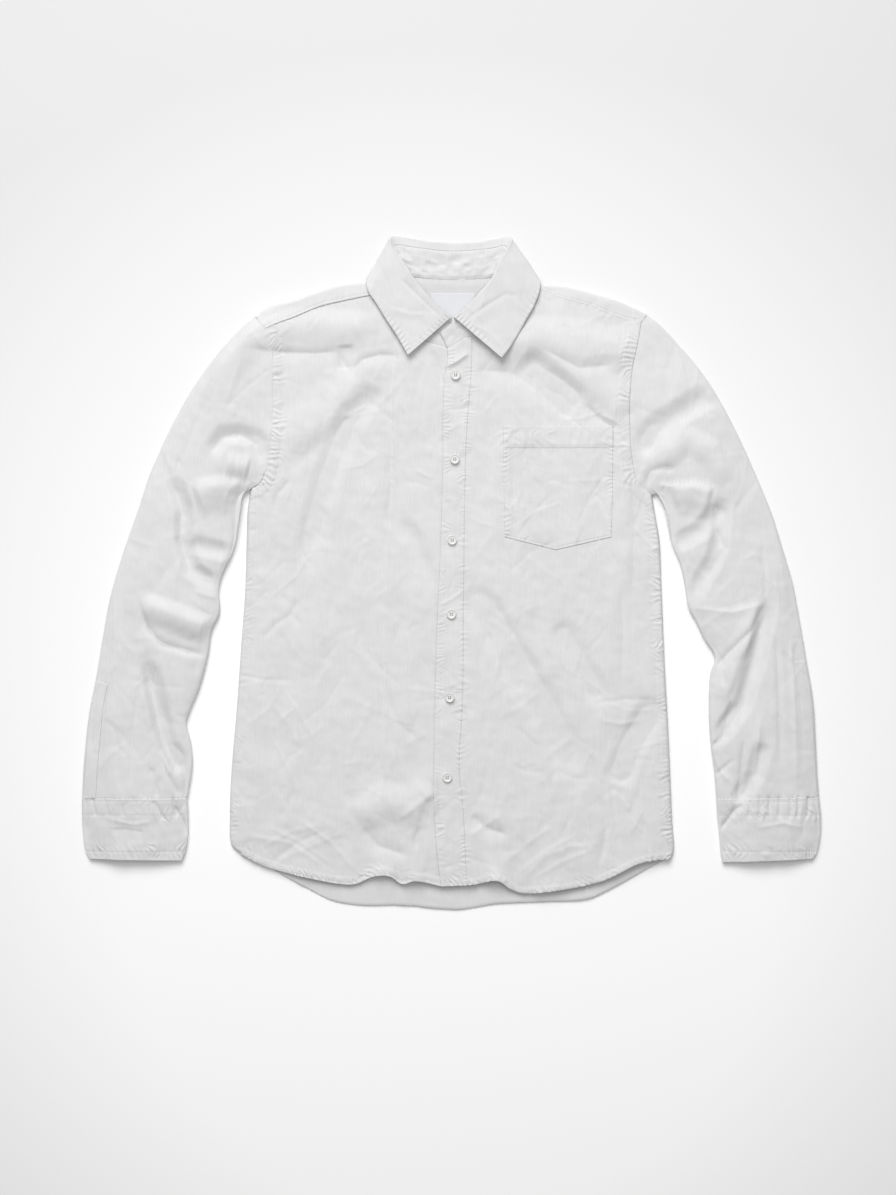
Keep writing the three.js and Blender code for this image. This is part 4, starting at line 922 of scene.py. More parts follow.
# %% Node groups
def node_group(name, inputs, outputs):
    """An empty group with its sockets, and its input and output nodes."""
    group = bpy.data.node_groups.new(name, "ShaderNodeTree")
    for label, kind, value in inputs:
        socket = group.interface.new_socket(label, in_out="INPUT", socket_type=kind)
        socket.default_value = value
    for label, kind in outputs:
        group.interface.new_socket(label, in_out="OUTPUT", socket_type=kind)
    return group, group.nodes.new("NodeGroupInput"), group.nodes.new("NodeGroupOutput")


def math_node(group, operation, first, second):
    """The output of a math node; its inputs are numbers or other outputs."""
    node = group.nodes.new("ShaderNodeMath")
    node.operation = operation
    for socket, value in zip(node.inputs, (first, second)):
        if isinstance(value, (int, float)):
            socket.default_value = value
        else:
            group.links.new(value, socket)
    return node.outputs["Value"]


def plain_weave():
    """The height of threads over and under each other, as a normal."""
    group, given, result = node_group(
        "Plain weave",
        [("Threads per metre", "NodeSocketFloat", 2600.0), ("Strength", "NodeSocketFloat", 0.12)],
        [("Normal", "NodeSocketVector")],
    )
    place = group.nodes.new("ShaderNodeTexCoord")
    parts = group.nodes.new("ShaderNodeSeparateXYZ")
    group.links.new(place.outputs["Object"], parts.inputs["Vector"])
    waves = []
    per_metre = given.outputs["Threads per metre"]
    for axis in ("X", "Y"):
        turns = math_node(group, "MULTIPLY", parts.outputs[axis], per_metre)
        waves.append(math_node(group, "SINE", math_node(group, "MULTIPLY", turns, math.pi), 0.0))
    height = math_node(group, "MULTIPLY", waves[0], waves[1])
    bump = group.nodes.new("ShaderNodeBump")
    bump.inputs["Distance"].default_value = 0.0001
    group.links.new(given.outputs["Strength"], bump.inputs["Strength"])
    group.links.new(height, bump.inputs["Height"])
    group.links.new(bump.outputs["Normal"], result.inputs["Normal"])
    return group


def slub_and_lint():
    """Threads of uneven thickness, and soft patches where lint has gathered."""
    group, given, result = node_group(
        "Slub and lint",
        [("Along", "NodeSocketFloat", 60.0), ("Across", "NodeSocketFloat", 900.0)],
        [("Mask", "NodeSocketFloat")],
    )
    place = group.nodes.new("ShaderNodeTexCoord")
    scale = group.nodes.new("ShaderNodeCombineXYZ")
    group.links.new(given.outputs["Across"], scale.inputs["X"])
    group.links.new(given.outputs["Along"], scale.inputs["Y"])
    scale.inputs["Z"].default_value = 60
    stretched = group.nodes.new("ShaderNodeVectorMath")
    stretched.operation = "MULTIPLY"
    group.links.new(place.outputs["Object"], stretched.inputs[0])
    group.links.new(scale.outputs["Vector"], stretched.inputs[1])
    slubs = group.nodes.new("ShaderNodeTexNoise")
    slubs.inputs["Scale"].default_value = 1.0
    slubs.inputs["Detail"].default_value = 2.0
    group.links.new(stretched.outputs["Vector"], slubs.inputs["Vector"])
    patches = group.nodes.new("ShaderNodeTexNoise")
    patches.inputs["Scale"].default_value = 45.0
    patches.inputs["Detail"].default_value = 3.0
    group.links.new(place.outputs["Object"], patches.inputs["Vector"])
    both = math_node(group, "ADD", slubs.outputs["Fac"], patches.outputs["Fac"])
    group.links.new(math_node(group, "MULTIPLY", both, 0.5), result.inputs["Mask"])
    return group


WEAVE, LINT = plain_weave(), slub_and_lint()

# %% Materials
def plain_material(name, colour, roughness, specular, coat=0.0):
    material = bpy.data.materials.new(name)
    material.use_nodes = True
    shader = material.node_tree.nodes["Principled BSDF"]
    shader.inputs["Base Color"].default_value = (*colour, 1)
    shader.inputs["Roughness"].default_value = roughness
    shader.inputs["Specular IOR Level"].default_value = specular
    shader.inputs["Coat Weight"].default_value = coat
    return material


def woven(name, light, dark, roughness, threads, strength):
    """Matt cloth: its lint mask mixes two near whites, its weave bends the normal."""
    material = plain_material(name, light, roughness, specular=0.25)
    nodes, links = material.node_tree.nodes, material.node_tree.links
    shader = nodes["Principled BSDF"]
    shader.inputs["Sheen Weight"].default_value = 0.08
    shader.inputs["Sheen Roughness"].default_value = 0.5
    lint = nodes.new("ShaderNodeGroup")
    lint.node_tree = LINT
    ramp = nodes.new("ShaderNodeValToRGB")
    ramp.color_ramp.elements[0].position = 0.35
    ramp.color_ramp.elements[0].color = (*dark, 1)
    ramp.color_ramp.elements[1].position = 0.62
    ramp.color_ramp.elements[1].color = (*light, 1)
    links.new(lint.outputs["Mask"], ramp.inputs["Fac"])
    links.new(ramp.outputs["Color"], shader.inputs["Base Color"])
    weave = nodes.new("ShaderNodeGroup")
    weave.node_tree = WEAVE
    weave.inputs["Threads per metre"].default_value = threads
    weave.inputs["Strength"].default_value = strength
    links.new(weave.outputs["Normal"], shader.inputs["Normal"])
    return material


WOVEN = table(("name", "light", "dark", "roughness", "threads", "strength"), [
    ("washed cotton", (0.700, 0.700, 0.699), (0.655, 0.655, 0.655), 0.88, 2600.0, 0.12),
    ("blank label", (0.70, 0.705, 0.725), (0.68, 0.685, 0.705), 0.6, 4200.0, 0.06),
])
PLAIN = table(("name", "colour", "roughness", "specular", "coat"), [
    ("button", (0.70, 0.70, 0.69), 0.32, 0.5, 0.25),
    ("sewing thread", (0.74, 0.74, 0.75), 0.7, 0.3, 0.0),
])
cotton, satin = (woven(**row) for row in WOVEN)
button_white, thread_white = (plain_material(**row) for row in PLAIN)
print("materials:", [m.name for m in (cotton, satin, button_white, thread_white)])

# %% [markdown]
# ## Fronts, placket and pocket
#
# A front lies between four lines: the yoke and neck seams, the hem, the side with its
# armhole, and the placket. A Coons patch fills them with rows and columns that follow
# the edges, which is also how the cloth was cut. Both fronts run on a little way past
# their seams, under the yoke, under the placket and round the side.

# %% Plan of the fronts
BODY_ARMHOLE = 0.29  # share of a front's depth that its armhole takes
YOKE_SHARE = 7 / 12  # share of its head that the yoke seam takes
ARMHOLE_ROWS, SIDE_ROWS = 148, 260
FRONT_COLUMNS = 160
SEAM_STEP = 0.72  # height of a felled seam over the panel beside it
TOPSTITCH_INSET = 1.8  # from the seam's turned edge
TOPSTITCH_SINK = 0.28
TOPSTITCH_WIDTH = 0.9
FELL = {"edge": 1.4, "rise": 2.5, "least": 0.25, "past": 8}  # how a seam's step rises and ends
SIDE_ROLL = {"reach": 3.2, "foot": 3.4}
UNDER_PLACKET = {"share": 0.25, "drops": (0.25, 0.5, 0.7)}  # the left front runs on under it
UNDER_ROLL = [(4.4, 2.5), (2.8, 2.1), (1.2, 1.2)]  # how far in and down the side turns under
ROLL_STEP = 0.05  # the least step of a turned column, so that no face is empty


def in_turn(first, second, share):
    """Two lines one after the other, the first over a share of 0 to 1."""
    def at(t):
        t = np.asarray(t, float)
        early = along(first, np.clip(t / share, 0, 1))
        late = along(second, np.clip((t - share) / (1 - share), 0, 1))
        return np.where((t <= share)[..., None], early, late)
    return at


def patch(head, foot, near, far, u, v):
    """Coons patch: rows at v from head to foot, columns at u from near to far."""
    across = near(v)[:, None] * (1 - u[None, :, None]) + far(v)[:, None] * u[None, :, None]
    down = head(u)[None] * (1 - v[:, None, None]) + foot(u)[None] * v[:, None, None]
    top = head(0.0) * (1 - u[:, None]) + head(1.0) * u[:, None]
    low = foot(0.0) * (1 - u[:, None]) + foot(1.0) * u[:, None]
    return across + down - top[None] * (1 - v[:, None, None]) - low[None] * v[:, None, None]


def depth_rows(first, second, share):
    """Shares of a depth, closer together over its first stretch."""
    return np.r_[np.linspace(0, share, first, endpoint=False), np.linspace(share, 1, second)]


def edge_columns(count, pull=0.45):
    """Shares across a panel, closer together at the start."""
    t = np.linspace(0, 1, count)
    return (1 - pull) * t + pull * t ** 2


def lines_of(side):
    """Armhole, yoke seam and neck of a side as smooth lines, the armhole from its yoke corner."""
    outline = OUTLINE[side]
    return (smooth_run(outline["armhole"][1:]), smooth_run(outline["yoke_seam"][::-1]),
            smooth_run(outline["neck"]))


PLACKET_LINES = {"edge": smooth_run(PLACKET_EDGE), "stitch": smooth_run(PLACKET_STITCH)}


def front_plan(side, v, u):
    """A front's places: rows from its head to the hem, columns from its side to the placket."""
    armhole, yoke_seam, neck = lines_of(side)
    inner = PLACKET_LINES["edge" if side == "right" else "stitch"]
    head = in_turn(yoke_seam, neck, YOKE_SHARE)
    near = in_turn(armhole, smooth_run(OUTLINE[side]["side"]), BODY_ARMHOLE)
    hem = smooth_run(OUTLINE[side]["hem"])
    return patch(head, lambda t: along(hem, t), near, lambda t: along(inner, t), u, v)


def raised(plan, lift=0.0):
    """A grid of plan points set on the top of the cloth."""
    z = cloth_top(plan[..., 0], plan[..., 1]) + lift
    return np.dstack([plan, z])


def facing_up(grid):
    """The grid with its columns turned round if its normals face down."""
    middle = grid_normals(grid)[grid.shape[0] // 2, grid.shape[1] // 2]
    return grid if middle[2] > 0 else grid[:, ::-1]


def felled(grid, line, width):
    """Raises the turned seam beside a line, and sinks its row of topstitching."""
    reach = width + FELL["past"]
    gap, _, _, _ = nearest(line, grid[..., 0], grid[..., 1], reach)
    rise = FELL["least"] + (1 - FELL["least"]) * ease(gap / FELL["rise"])
    step = (1 - ease((gap - width) / FELL["edge"] + 0.5)) * rise
    sunk = groove(gap - width + TOPSTITCH_INSET, TOPSTITCH_WIDTH)
    grid = grid.copy()
    grid[..., 2] += (gap < reach) * (SEAM_STEP * step - TOPSTITCH_SINK * sunk)
    return grid


def rolled_down(grid, line):
    """Rounds the outermost cloth down to the side seam that it shares with the back."""
    gap, _, _, _ = nearest(line, grid[..., 0], grid[..., 1], SIDE_ROLL["reach"])
    rounded = quarter(gap, SIDE_ROLL["reach"])
    grid = grid.copy()
    grid[..., 2] = SIDE_ROLL["foot"] + (grid[..., 2] - SIDE_ROLL["foot"]) * rounded
    return grid


def rolled_under(grid, weight):
    """Columns added at the side seam, where the cloth turns under to meet the back."""
    outward = unit(grid[:, 0, :2] - grid[:, 3, :2])
    added = []
    for inwards, drop in UNDER_ROLL:
        column = grid[:, 0].copy()
        column[:, :2] -= outward * (inwards * weight + ROLL_STEP)[:, None]
        column[:, 2] -= drop * weight + ROLL_STEP
        added.append(column)
    return np.concatenate([np.stack(added, axis=1), grid], axis=1)


def tucked_rows(grid, plan_reach, drops):
    """Rows added before the first one, which run on under the piece sewn over them."""
    step = unit(grid[0, :, :2] - grid[3, :, :2])
    added = []
    for share, drop in drops:
        row = grid[0].copy()
        row[:, :2] += step * (plan_reach * share)[:, None]
        row[:, 2] -= drop
        added.append(row)
    return np.concatenate([np.array(added), grid])


def dressed(piece, node):
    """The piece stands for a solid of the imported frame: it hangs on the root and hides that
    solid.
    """
    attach(piece, "root")
    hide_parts(node)
    return piece


# %% Two fronts
front_rows = depth_rows(ARMHOLE_ROWS, SIDE_ROWS, BODY_ARMHOLE)
front_rows = np.interp(np.linspace(0, 1, fitted(len(front_rows), 3)),
                       np.linspace(0, 1, len(front_rows)), front_rows)
front_shares = edge_columns(fitted(FRONT_COLUMNS, 3))


def seamed_front(side, grid):
    """A front with its turned seams and its rounded side."""
    armhole, side_seam = lines_of(side)[0], smooth_run(OUTLINE[side]["side"])
    grid = felled(grid, armhole, ARMHOLE_BAND)
    if side == "left":
        grid = felled(grid, side_seam, SIDE_BAND)
    grid = felled(grid, FRONT_HEM, HEM_BAND)
    return rolled_down(grid, side_seam)


HEAD_TUCK = [(1.0, 0.5), (0.66, 0.4), (0.33, 0.2)]  # share of the reach, drop
TUCK_REACH = {"yoke": 4.0, "neck": 0.6}
ROLL_STARTS = 0.03  # share of the depth over which the side begins to turn under
side_weight = ease((front_rows - BODY_ARMHOLE) / ROLL_STARTS)


def head_reach(columns, extra=0):
    """How far each column runs on under the yoke, and less far under the collar."""
    share = np.r_[np.zeros(len(UNDER_ROLL)), columns, np.ones(extra)]
    return np.where(share < YOKE_SHARE, TUCK_REACH["yoke"], TUCK_REACH["neck"])


# the left front runs on under its placket
left_plan = front_plan("left", front_rows, front_shares)
edge_run = along(PLACKET_LINES["edge"], front_rows)[:, None]
stitch_run = along(PLACKET_LINES["stitch"], front_rows)[:, None]
under_shares = np.linspace(0, UNDER_PLACKET["share"], 4)[1:, None]
under_plan = stitch_run * (1 - under_shares) + edge_run * under_shares
left_grid = seamed_front("left", raised(np.concatenate([left_plan, under_plan], axis=1)))
left_grid[:, -3:, 2] -= np.array(UNDER_PLACKET["drops"])
left_grid = rolled_under(left_grid, side_weight)
left_grid = tucked_rows(left_grid, head_reach(front_shares, 3), HEAD_TUCK)
front_left = cloth_shell("left_front", facing_up(left_grid), cotton)
dressed(front_left, "front_left")

# the right front runs on under the placket, one layer lower
UNDERLAP = {"drop": 1.3, "from": 1.4, "over": 3.4, "within": 60, "columns": 12}
right_plan = front_plan("right", front_rows, front_shares)
under_shares = np.linspace(0, 1, UNDERLAP["columns"] + 1)[1:, None]
under_plan = edge_run * (1 - under_shares) + stitch_run * under_shares
right_plan = np.concatenate([right_plan, under_plan], axis=1)
x, y = right_plan[..., 0], right_plan[..., 1]
distance, side_of, _, _ = nearest(PLACKET_LINES["edge"], x, y, UNDERLAP["within"])
under = np.where(side_of > 0, distance, -distance)  # left of the edge's run is the wearer's left
right_grid = seamed_front("right", raised(right_plan))
right_grid[..., 2] -= UNDERLAP["drop"] * ease((under + UNDERLAP["from"]) / UNDERLAP["over"])
right_grid = rolled_under(right_grid, side_weight)
right_grid = tucked_rows(right_grid, head_reach(front_shares, UNDERLAP["columns"]), HEAD_TUCK)
front_right = cloth_shell("right_front", facing_up(right_grid), cotton)
dressed(front_right, "front_right")
print("fronts:", left_plan.shape[:2], right_plan.shape[:2])

# %% Button placket and pocket
LAYER = 0.85  # a doubled strip over the panel that it is sewn to
PLACKET_RISE = {"edge": 1.1, "stitch": 0.5}
PLACKET_GRID = (520, 25)
PLY = 0.6  # thickness of the placket's and the pocket's cloth, with its turnings
POCKET_GRID = (154, 97)
POCKET_HEM_RISE = 0.95
POCKET_HEM_EDGE = 1.2
POCKET_SINK = 0.42  # its rows of topstitching
POCKET_STITCH, POCKET_HEM_STITCH = 2.2, 1.6  # from the pocket's edge and from the hem's foot

placket_rows = np.linspace(0, 1, fitted(PLACKET_GRID[0], 3))
placket_shares = np.linspace(0, 1, PLACKET_GRID[1])[:, None]
edge_run = along(PLACKET_LINES["edge"], placket_rows)[:, None]
stitch_run = along(PLACKET_LINES["stitch"], placket_rows)[:, None]
placket_plan = edge_run * (1 - placket_shares) + stitch_run * placket_shares
placket_fall = PLACKET_RISE["stitch"] - PLACKET_RISE["edge"]
placket_lift = PLACKET_RISE["edge"] + placket_fall * placket_shares[:, 0]
placket_grid = facing_up(raised(placket_plan, placket_lift[None]))
placket = dressed(cloth_shell("placket", placket_grid, cotton, PLY), "button_placket")


def pocket_plan(v, u):
    """The pocket's places: rows from its top to its pointed foot."""
    middle = (POCKET["point"]["x"] - POCKET["left"]) / (POCKET["right"] - POCKET["left"])
    dip = np.where(u < middle, u / middle, (1 - u) / (1 - middle))
    foot = POCKET["bottom"] + (POCKET["point"]["y"] - POCKET["bottom"]) * dip
    widen = POCKET["lean"] * (1 - v)[:, None] * (2 * u - 1)[None]
    x = POCKET["left"] + (POCKET["right"] - POCKET["left"]) * u[None] + widen
    y = POCKET["top"] + (foot[None] - POCKET["top"]) * v[:, None]
    return np.dstack([x, y])


pocket_grid = raised(pocket_plan(*(np.linspace(0, 1, count) for count in POCKET_GRID)), LAYER)
edge_gap, _, _, _ = nearest(pocket_outline(), pocket_grid[..., 0], pocket_grid[..., 1], 20)
below_hem = POCKET["top"] - POCKET_HEM - pocket_grid[..., 1]
pocket_grid[..., 2] += POCKET_HEM_RISE * (1 - ease(below_hem / POCKET_HEM_EDGE + 0.5))
pocket_grid[..., 2] -= POCKET_SINK * groove(edge_gap - POCKET_STITCH, TOPSTITCH_WIDTH)
pocket_grid[..., 2] -= POCKET_SINK * groove(below_hem + POCKET_HEM_STITCH, TOPSTITCH_WIDTH)
pocket = dressed(cloth_shell("chest_pocket", facing_up(pocket_grid), cotton, PLY), "pocket")
print("placket", placket_grid.shape, "pocket", pocket_grid.shape)

# %% [markdown]
# ## Back
#
# The back lies on the floor and only its hem shows, past the shorter front. There it
# rises a little and its turned hem waves.

# %% Back
BACK_NARROWER = 0.989  # the fronts turn under at the sides and meet it there
BACK_GRID = (150, 190)
BACK_CORNER = 0.2  # share of the armhole that the yoke takes on the back
BACK_FLOOR = 0.25  # air under the back
BACK_WAVE = {"reach": 80, "mean": 0.9, "swell": 0.8, "cell": 30, "turn": 0.4, "seed": 77}
BACK_PUCKER = {"height": 0.3, "pitch": 1.05, "reach": 5}
BACK_CRUMPLE = 0.7
back_rows, back_columns = (np.linspace(0, 1, fitted(count, 3)) for count in BACK_GRID)


def back_plan(v, u):
    """The back's places: rows from the yoke seam to the hem."""
    sides = {}
    for side in ("right", "left"):
        armhole = lines_of(side)[0]
        sides[side] = in_turn(along(armhole, np.linspace(BACK_CORNER, 1, 60)),
                              smooth_run(OUTLINE[side]["side"]), BODY_ARMHOLE)
    head = np.array([sides["right"](0.0), sides["left"](0.0)])
    hem = smooth_run(BACK_HEM)
    return patch(lambda t: along(head, t), lambda t: along(hem, t),
                 sides["right"], sides["left"], u, v)


back_flat = back_plan(back_rows, back_columns) * (BACK_NARROWER, 1)
x, y = back_flat[..., 0], back_flat[..., 1]
hem_gap, _, _, hem_walk = nearest(smooth_run(BACK_HEM), x, y, BACK_WAVE["reach"])
shown = ease((hem_gap < BACK_WAVE["reach"]) * (1 - hem_gap / BACK_WAVE["reach"]) * 2)
swell = BACK_WAVE["swell"] * noise(x, y, BACK_WAVE["cell"], BACK_WAVE["turn"], BACK_WAVE["seed"])
gathers = BACK_PUCKER["height"] * np.sin(hem_walk / BACK_PUCKER["pitch"])
wave = BACK_WAVE["mean"] + swell + gathers * groove(hem_gap, BACK_PUCKER["reach"])
crease = np.maximum(0, crumple(x, y) * BACK_CRUMPLE)
back_grid = np.dstack([back_flat, CLOTH + BACK_FLOOR + shown * np.maximum(0, wave) + crease])
back = dressed(cloth_shell("back_panel", facing_up(back_grid), cotton), "back")
print("back", back_grid.shape)

# %% [markdown]
# ## Sleeves and cuffs
#
# A flattened sleeve is a row of rings. Each ring runs over the top from the outer
# fold to the inner one and comes back underneath, with a small round at both folds.
# The first rings bend with the armhole that they are sewn to, and the bend dies out
# over the upper arm. Columns crowd at the folds, where the cloth curves most.

# %% Rings of a flattened tube
TOP_COLUMNS, LOW_COLUMNS = 108, 36
SLEEVE_ROWS = 301
TUBE = {"side": 3.9, "top_round": 2.2, "low_round": 7.0, "floor": 0.05, "crumple": 0.6,
        "calm": 12}
HEAD_SHARES = [0, 0.015, 0.06, 0.14, 0.24, 0.36, 0.48, 0.6, 0.72, 0.83, 0.93, 0.985, 1]
HEAD_PLACES = [-1, -0.5, 0, 0.1, 0.2, 0.3, 0.4, 0.5, 0.6, 0.7, 0.8, 0.9, 1]
FOOT_SHARES = [0.01, 0.14, 0.33, 0.5, 0.68, 0.84, 0.99]
FOOT_PLACES = [-0.88, 0, 0.2, 0.4, 0.6, 0.8, 0.99]
HEAD_FADE = 0.55

top_shares = (1 - np.cos(np.linspace(0, math.pi, TOP_COLUMNS))) / 2
low_shares = (1 + np.cos(np.linspace(0, math.pi, LOW_COLUMNS + 2)[1:-1])) / 2


def tube_heights(plan, outer, inner, top, lift=0.0, under=None):
    """Turns plan rings into points: top columns over the cloth, the rest under it."""
    width = np.linalg.norm(inner - outer, axis=1)[:, None]
    shares = np.r_[top_shares, low_shares]
    edge = np.minimum(shares, 1 - shares)[None] * width
    x, y = plan[..., 0], plan[..., 1]
    creased = TUBE["crumple"] * np.maximum(0, crumple(x, y)) * quarter(edge, TUBE["calm"])
    raised_by = under(x, y) if under else np.zeros(x.shape)
    low = TUBE["floor"] + creased + raised_by
    side = TUBE["side"] + raised_by
    over = side + (top(x, y) + lift - side) * quarter(edge, TUBE["top_round"])
    low = side + (low - side) * quarter(edge, TUBE["low_round"])
    on_top = np.arange(len(shares)) < len(top_shares)
    return np.dstack([plan, np.where(on_top[None], over, low)])


def head_place(side, q):
    """A place on the shoulder's short run (q from -1 to 0) or the armhole (0 to 1)."""
    armhole = lines_of(side)[0]
    shoulder = np.array(OUTLINE[side]["armhole"][0], float)
    q = np.asarray(q, float)[:, None]
    on_shoulder = shoulder + (armhole[0] - shoulder) * np.clip(q + 1, 0, 1)
    return np.where(q < 0, on_shoulder, along(armhole, np.clip(q[:, 0], 0, 1)))


def sleeve_plan(side, t):
    """A sleeve's rings in plan at shares t of its length, and its two folds."""
    rows = [{"outer": OUTLINE[side]["armhole"][0], "inner": OUTLINE[side]["armhole"][-1]}]
    rows += SLEEVE[side]
    outer = by_rows([row["outer"] for row in rows], t)
    inner = by_rows([row["inner"] for row in rows], t)
    shares = np.r_[top_shares, low_shares]
    places = np.r_[np.interp(top_shares, HEAD_SHARES, HEAD_PLACES),
                   np.interp(low_shares, FOOT_SHARES, FOOT_PLACES)]
    bend = head_place(side, places) - (outer[0] + (inner[0] - outer[0]) * shares[:, None])
    fade = (1 - np.clip(t / HEAD_FADE, 0, 1)) ** 2
    flat = outer[:, None] + (inner - outer)[:, None] * shares[None, :, None]
    return flat + bend[None] * fade[:, None, None], outer, inner


# %% Sleeves
SLEEVE_TUCK = [(1.0, 0.6), (0.66, 0.5), (0.33, 0.25)]  # share of the reach, drop
SLEEVE_REACH = {"top": 3.2, "from_fold": 0.05, "least": 0.15}  # under the armhole's seam

for wearer_side in ("right", "left"):
    ring_rows = np.linspace(0, 1, fitted(SLEEVE_ROWS, 3))
    plan, outer_run, inner_run = sleeve_plan(wearer_side, ring_rows)
    rings = tube_heights(plan, outer_run, inner_run, cloth_top)
    fold_share = np.minimum(top_shares, 1 - top_shares)
    reach = SLEEVE_REACH["top"] * ease(fold_share / SLEEVE_REACH["from_fold"])
    reach = np.r_[reach, np.zeros(LOW_COLUMNS)] + SLEEVE_REACH["least"]
    rings = tucked_rows(rings, reach, SLEEVE_TUCK)
    sleeve = cloth_shell(wearer_side + "_sleeve", facing_up(rings), cotton, wrap=True)
    dressed(sleeve, "sleeve_" + wearer_side)
    print(sleeve.name, rings.shape[:2])

# %% [markdown]
# A cuff is two plies with an interlining between them, so it is thicker and stiffer
# than the sleeve and stands a little over it. Its underside bridges the button that
# closes it underneath.

# %% Cuffs
CUFF_CLOTH = 1.1
CUFF_RISE = 0.55
CUFF_FALL = {"first": 1.6, "over": 36, "rest": 1.4, "length": 72, "edge": 12}
CUFF_CREASED = {"crumple": 1.3, "pucker": 1.4}  # a cuff's creases are sharper than the sleeve's
CUFF_LIFT = {"z": 3, "across": 45, "along": 38, "steep": 1.9}
CUFF_ROWS = 64
CUFF_TOPSTITCH = (2.2, 19.0, 62.0)  # rows of stitching, from the cuff seam
CUFF_GROOVE = {"deep": 0.35, "width": 1.0}


def cuff_top(x, y):
    """The cuff's face: it falls towards the hand, with its rows of stitching sunk in."""
    form, inside = broad_form(x, y)
    crisp = fold_height(CREASES, x, y, crisp_fold) + CUFF_CREASED["crumple"] * crumple(x, y)
    crisp += CUFF_CREASED["pucker"] * pucker_height(x, y)
    run = CUFF_SEAM_Y - y
    sunk = sum(groove(run - row, CUFF_GROOVE["width"]) for row in CUFF_TOPSTITCH)
    fall = CUFF_FALL["first"] * ease(run / CUFF_FALL["over"])
    fall += CUFF_FALL["rest"] * np.clip(run / CUFF_FALL["length"], 0, 1)
    fall = fall * quarter(inside, CUFF_FALL["edge"])
    return form + crisp * faded(inside, CREASE_FADE) - CUFF_GROOVE["deep"] * sunk - fall


cuffs = {}
for wearer_side in ("right", "left"):
    button = CUFF_BUTTON[wearer_side]

    def under_lift(x, y, button=button):
        """Room under the cuff for its button."""
        away = np.maximum(abs(x - button["x"]) / CUFF_LIFT["across"],
                          abs(y - button["y"]) / CUFF_LIFT["along"])
        return CUFF_LIFT["z"] * ease(CUFF_LIFT["steep"] * (1 - away))

    ring_rows = np.linspace(0, 1, fitted(CUFF_ROWS, 3))
    outer_run = by_rows([row["outer"] for row in CUFF[wearer_side]], ring_rows)
    inner_run = by_rows([row["inner"] for row in CUFF[wearer_side]], ring_rows)
    shares = np.r_[top_shares, low_shares][None, :, None]
    plan = outer_run[:, None] + (inner_run - outer_run)[:, None] * shares
    rings = tube_heights(plan, outer_run, inner_run, cuff_top, CUFF_RISE, under_lift)
    cuff = cloth_shell(wearer_side + "_cuff", facing_up(rings), cotton, CUFF_CLOTH, wrap=True)
    cuffs[wearer_side] = dressed(cuff, "cuff_" + wearer_side)
print("cuffs", rings.shape[:2])

# %% Sleeve plackets
SLIT_SHARES = (0.02, 0.135)
SLIT_GRID = (104, 16)
for wearer_side in ("right", "left"):
    rows = SLEEVE[wearer_side][-5:]
    t = np.linspace(0, 1, fitted(SLIT_GRID[0], 3))
    outer_run = along(smooth_run([row["outer"] for row in rows]), t)[:, None]
    inner_run = along(smooth_run([row["inner"] for row in rows]), t)[:, None]
    share = np.linspace(*SLIT_SHARES, SLIT_GRID[1])[None, :, None]
    grid = facing_up(raised(outer_run * (1 - share) + inner_run * share, LAYER))
    strip = cloth_shell(wearer_side + "_sleeve_placket", grid, cotton)
    dressed(strip, "sleeve_placket_" + wearer_side)
print("sleeve plackets", grid.shape[:2])

# %% [markdown]
# ## Yoke
#
# The yoke covers the shoulder blades under the shirt, folds over the shoulders and is
# sewn to the fronts. Each section starts at the back seam on the floor, runs up to
# the shoulder fold, turns round it and comes down to the front seam. At the neck the
# sections end where the neck is cut out.

# %% Yoke sections
YOKE_LIFT = {"z": 1.9, "from": 325, "to": 342}
YOKE_FOLD = 3.0
YOKE_FEET = 0.35
YOKE_POINTS = {"low": 42, "turn": 12, "flap": 24}
SHOULDER_SECTIONS = 64
YOKE_RISE = 0.28  # of the yoke over the front
YOKE_STITCH = 3.0  # its row of stitching, from the seam
YOKE_SINK = 0.3
YOKE_FACE = 4  # its upper side lies above this height
ARMHOLE_KNEE = 0.667  # share of a section's run where it meets the armhole's corner


def yoke_lift(y):
    """Height of the yoke's lower side, which rises towards the neck."""
    return YOKE_LIFT["z"] * ease((y - YOKE_LIFT["from"]) / (YOKE_LIFT["to"] - YOKE_LIFT["from"]))


def back_seam(x):
    """Where the yoke's seam to the back runs at x."""
    a, b = (along(lines_of(side)[0], BACK_CORNER) for side in ("right", "left"))
    return a + (b - a) * (x - a[0]) / (b[0] - a[0])


def shoulder_sections(side):
    """Sections of the yoke from the neck to the end of a shoulder."""
    armhole, yoke_seam, _ = lines_of(side)
    corner, first = along(armhole, BACK_CORNER), armhole[0]
    shoulder = np.array(OUTLINE[side]["armhole"][0], float)
    ridge_line = smooth_run(OUTLINE[side]["shoulder"][::-1])
    sections = []
    for t in np.linspace(0, 1, SHOULDER_SECTIONS):
        sections.append({
            "foot": back_seam((1 + (YOKE_FEET - 1) * t) * corner[0]),
            "ridge": along(ridge_line, t), "flap": along(yoke_seam, t), "end": None,
            "hollow": (1 - t) ** 2, "bow": (corner, first, shoulder),
        })
    return sections


def neck_sections(side):
    """Sections of the yoke behind the neck."""
    sections = []
    for row in NECK[side]:
        foot = back_seam(row["foot"])
        sections.append({
            "foot": foot, "ridge": np.array(row["ridge"], float),
            "flap": np.array(row["flap"], float) if "flap" in row else None,
            "end": row["ends"] - foot[1] if "ends" in row else None, "hollow": 0, "bow": None,
        })
    return sections


def bowed(section, q):
    """How the armhole's hollow pulls a section's plan aside, at shares q of its run."""
    if not section["hollow"]:
        return np.zeros((len(q), 2))
    corner, first, shoulder = section["bow"]
    q = q[:, None]
    hollow = np.where(q <= ARMHOLE_KNEE, corner + (first - corner) * q / ARMHOLE_KNEE,
                      first + (shoulder - first) * (q - ARMHOLE_KNEE) / (1 - ARMHOLE_KNEE))
    return (hollow - corner - (shoulder - corner) * q) * section["hollow"]


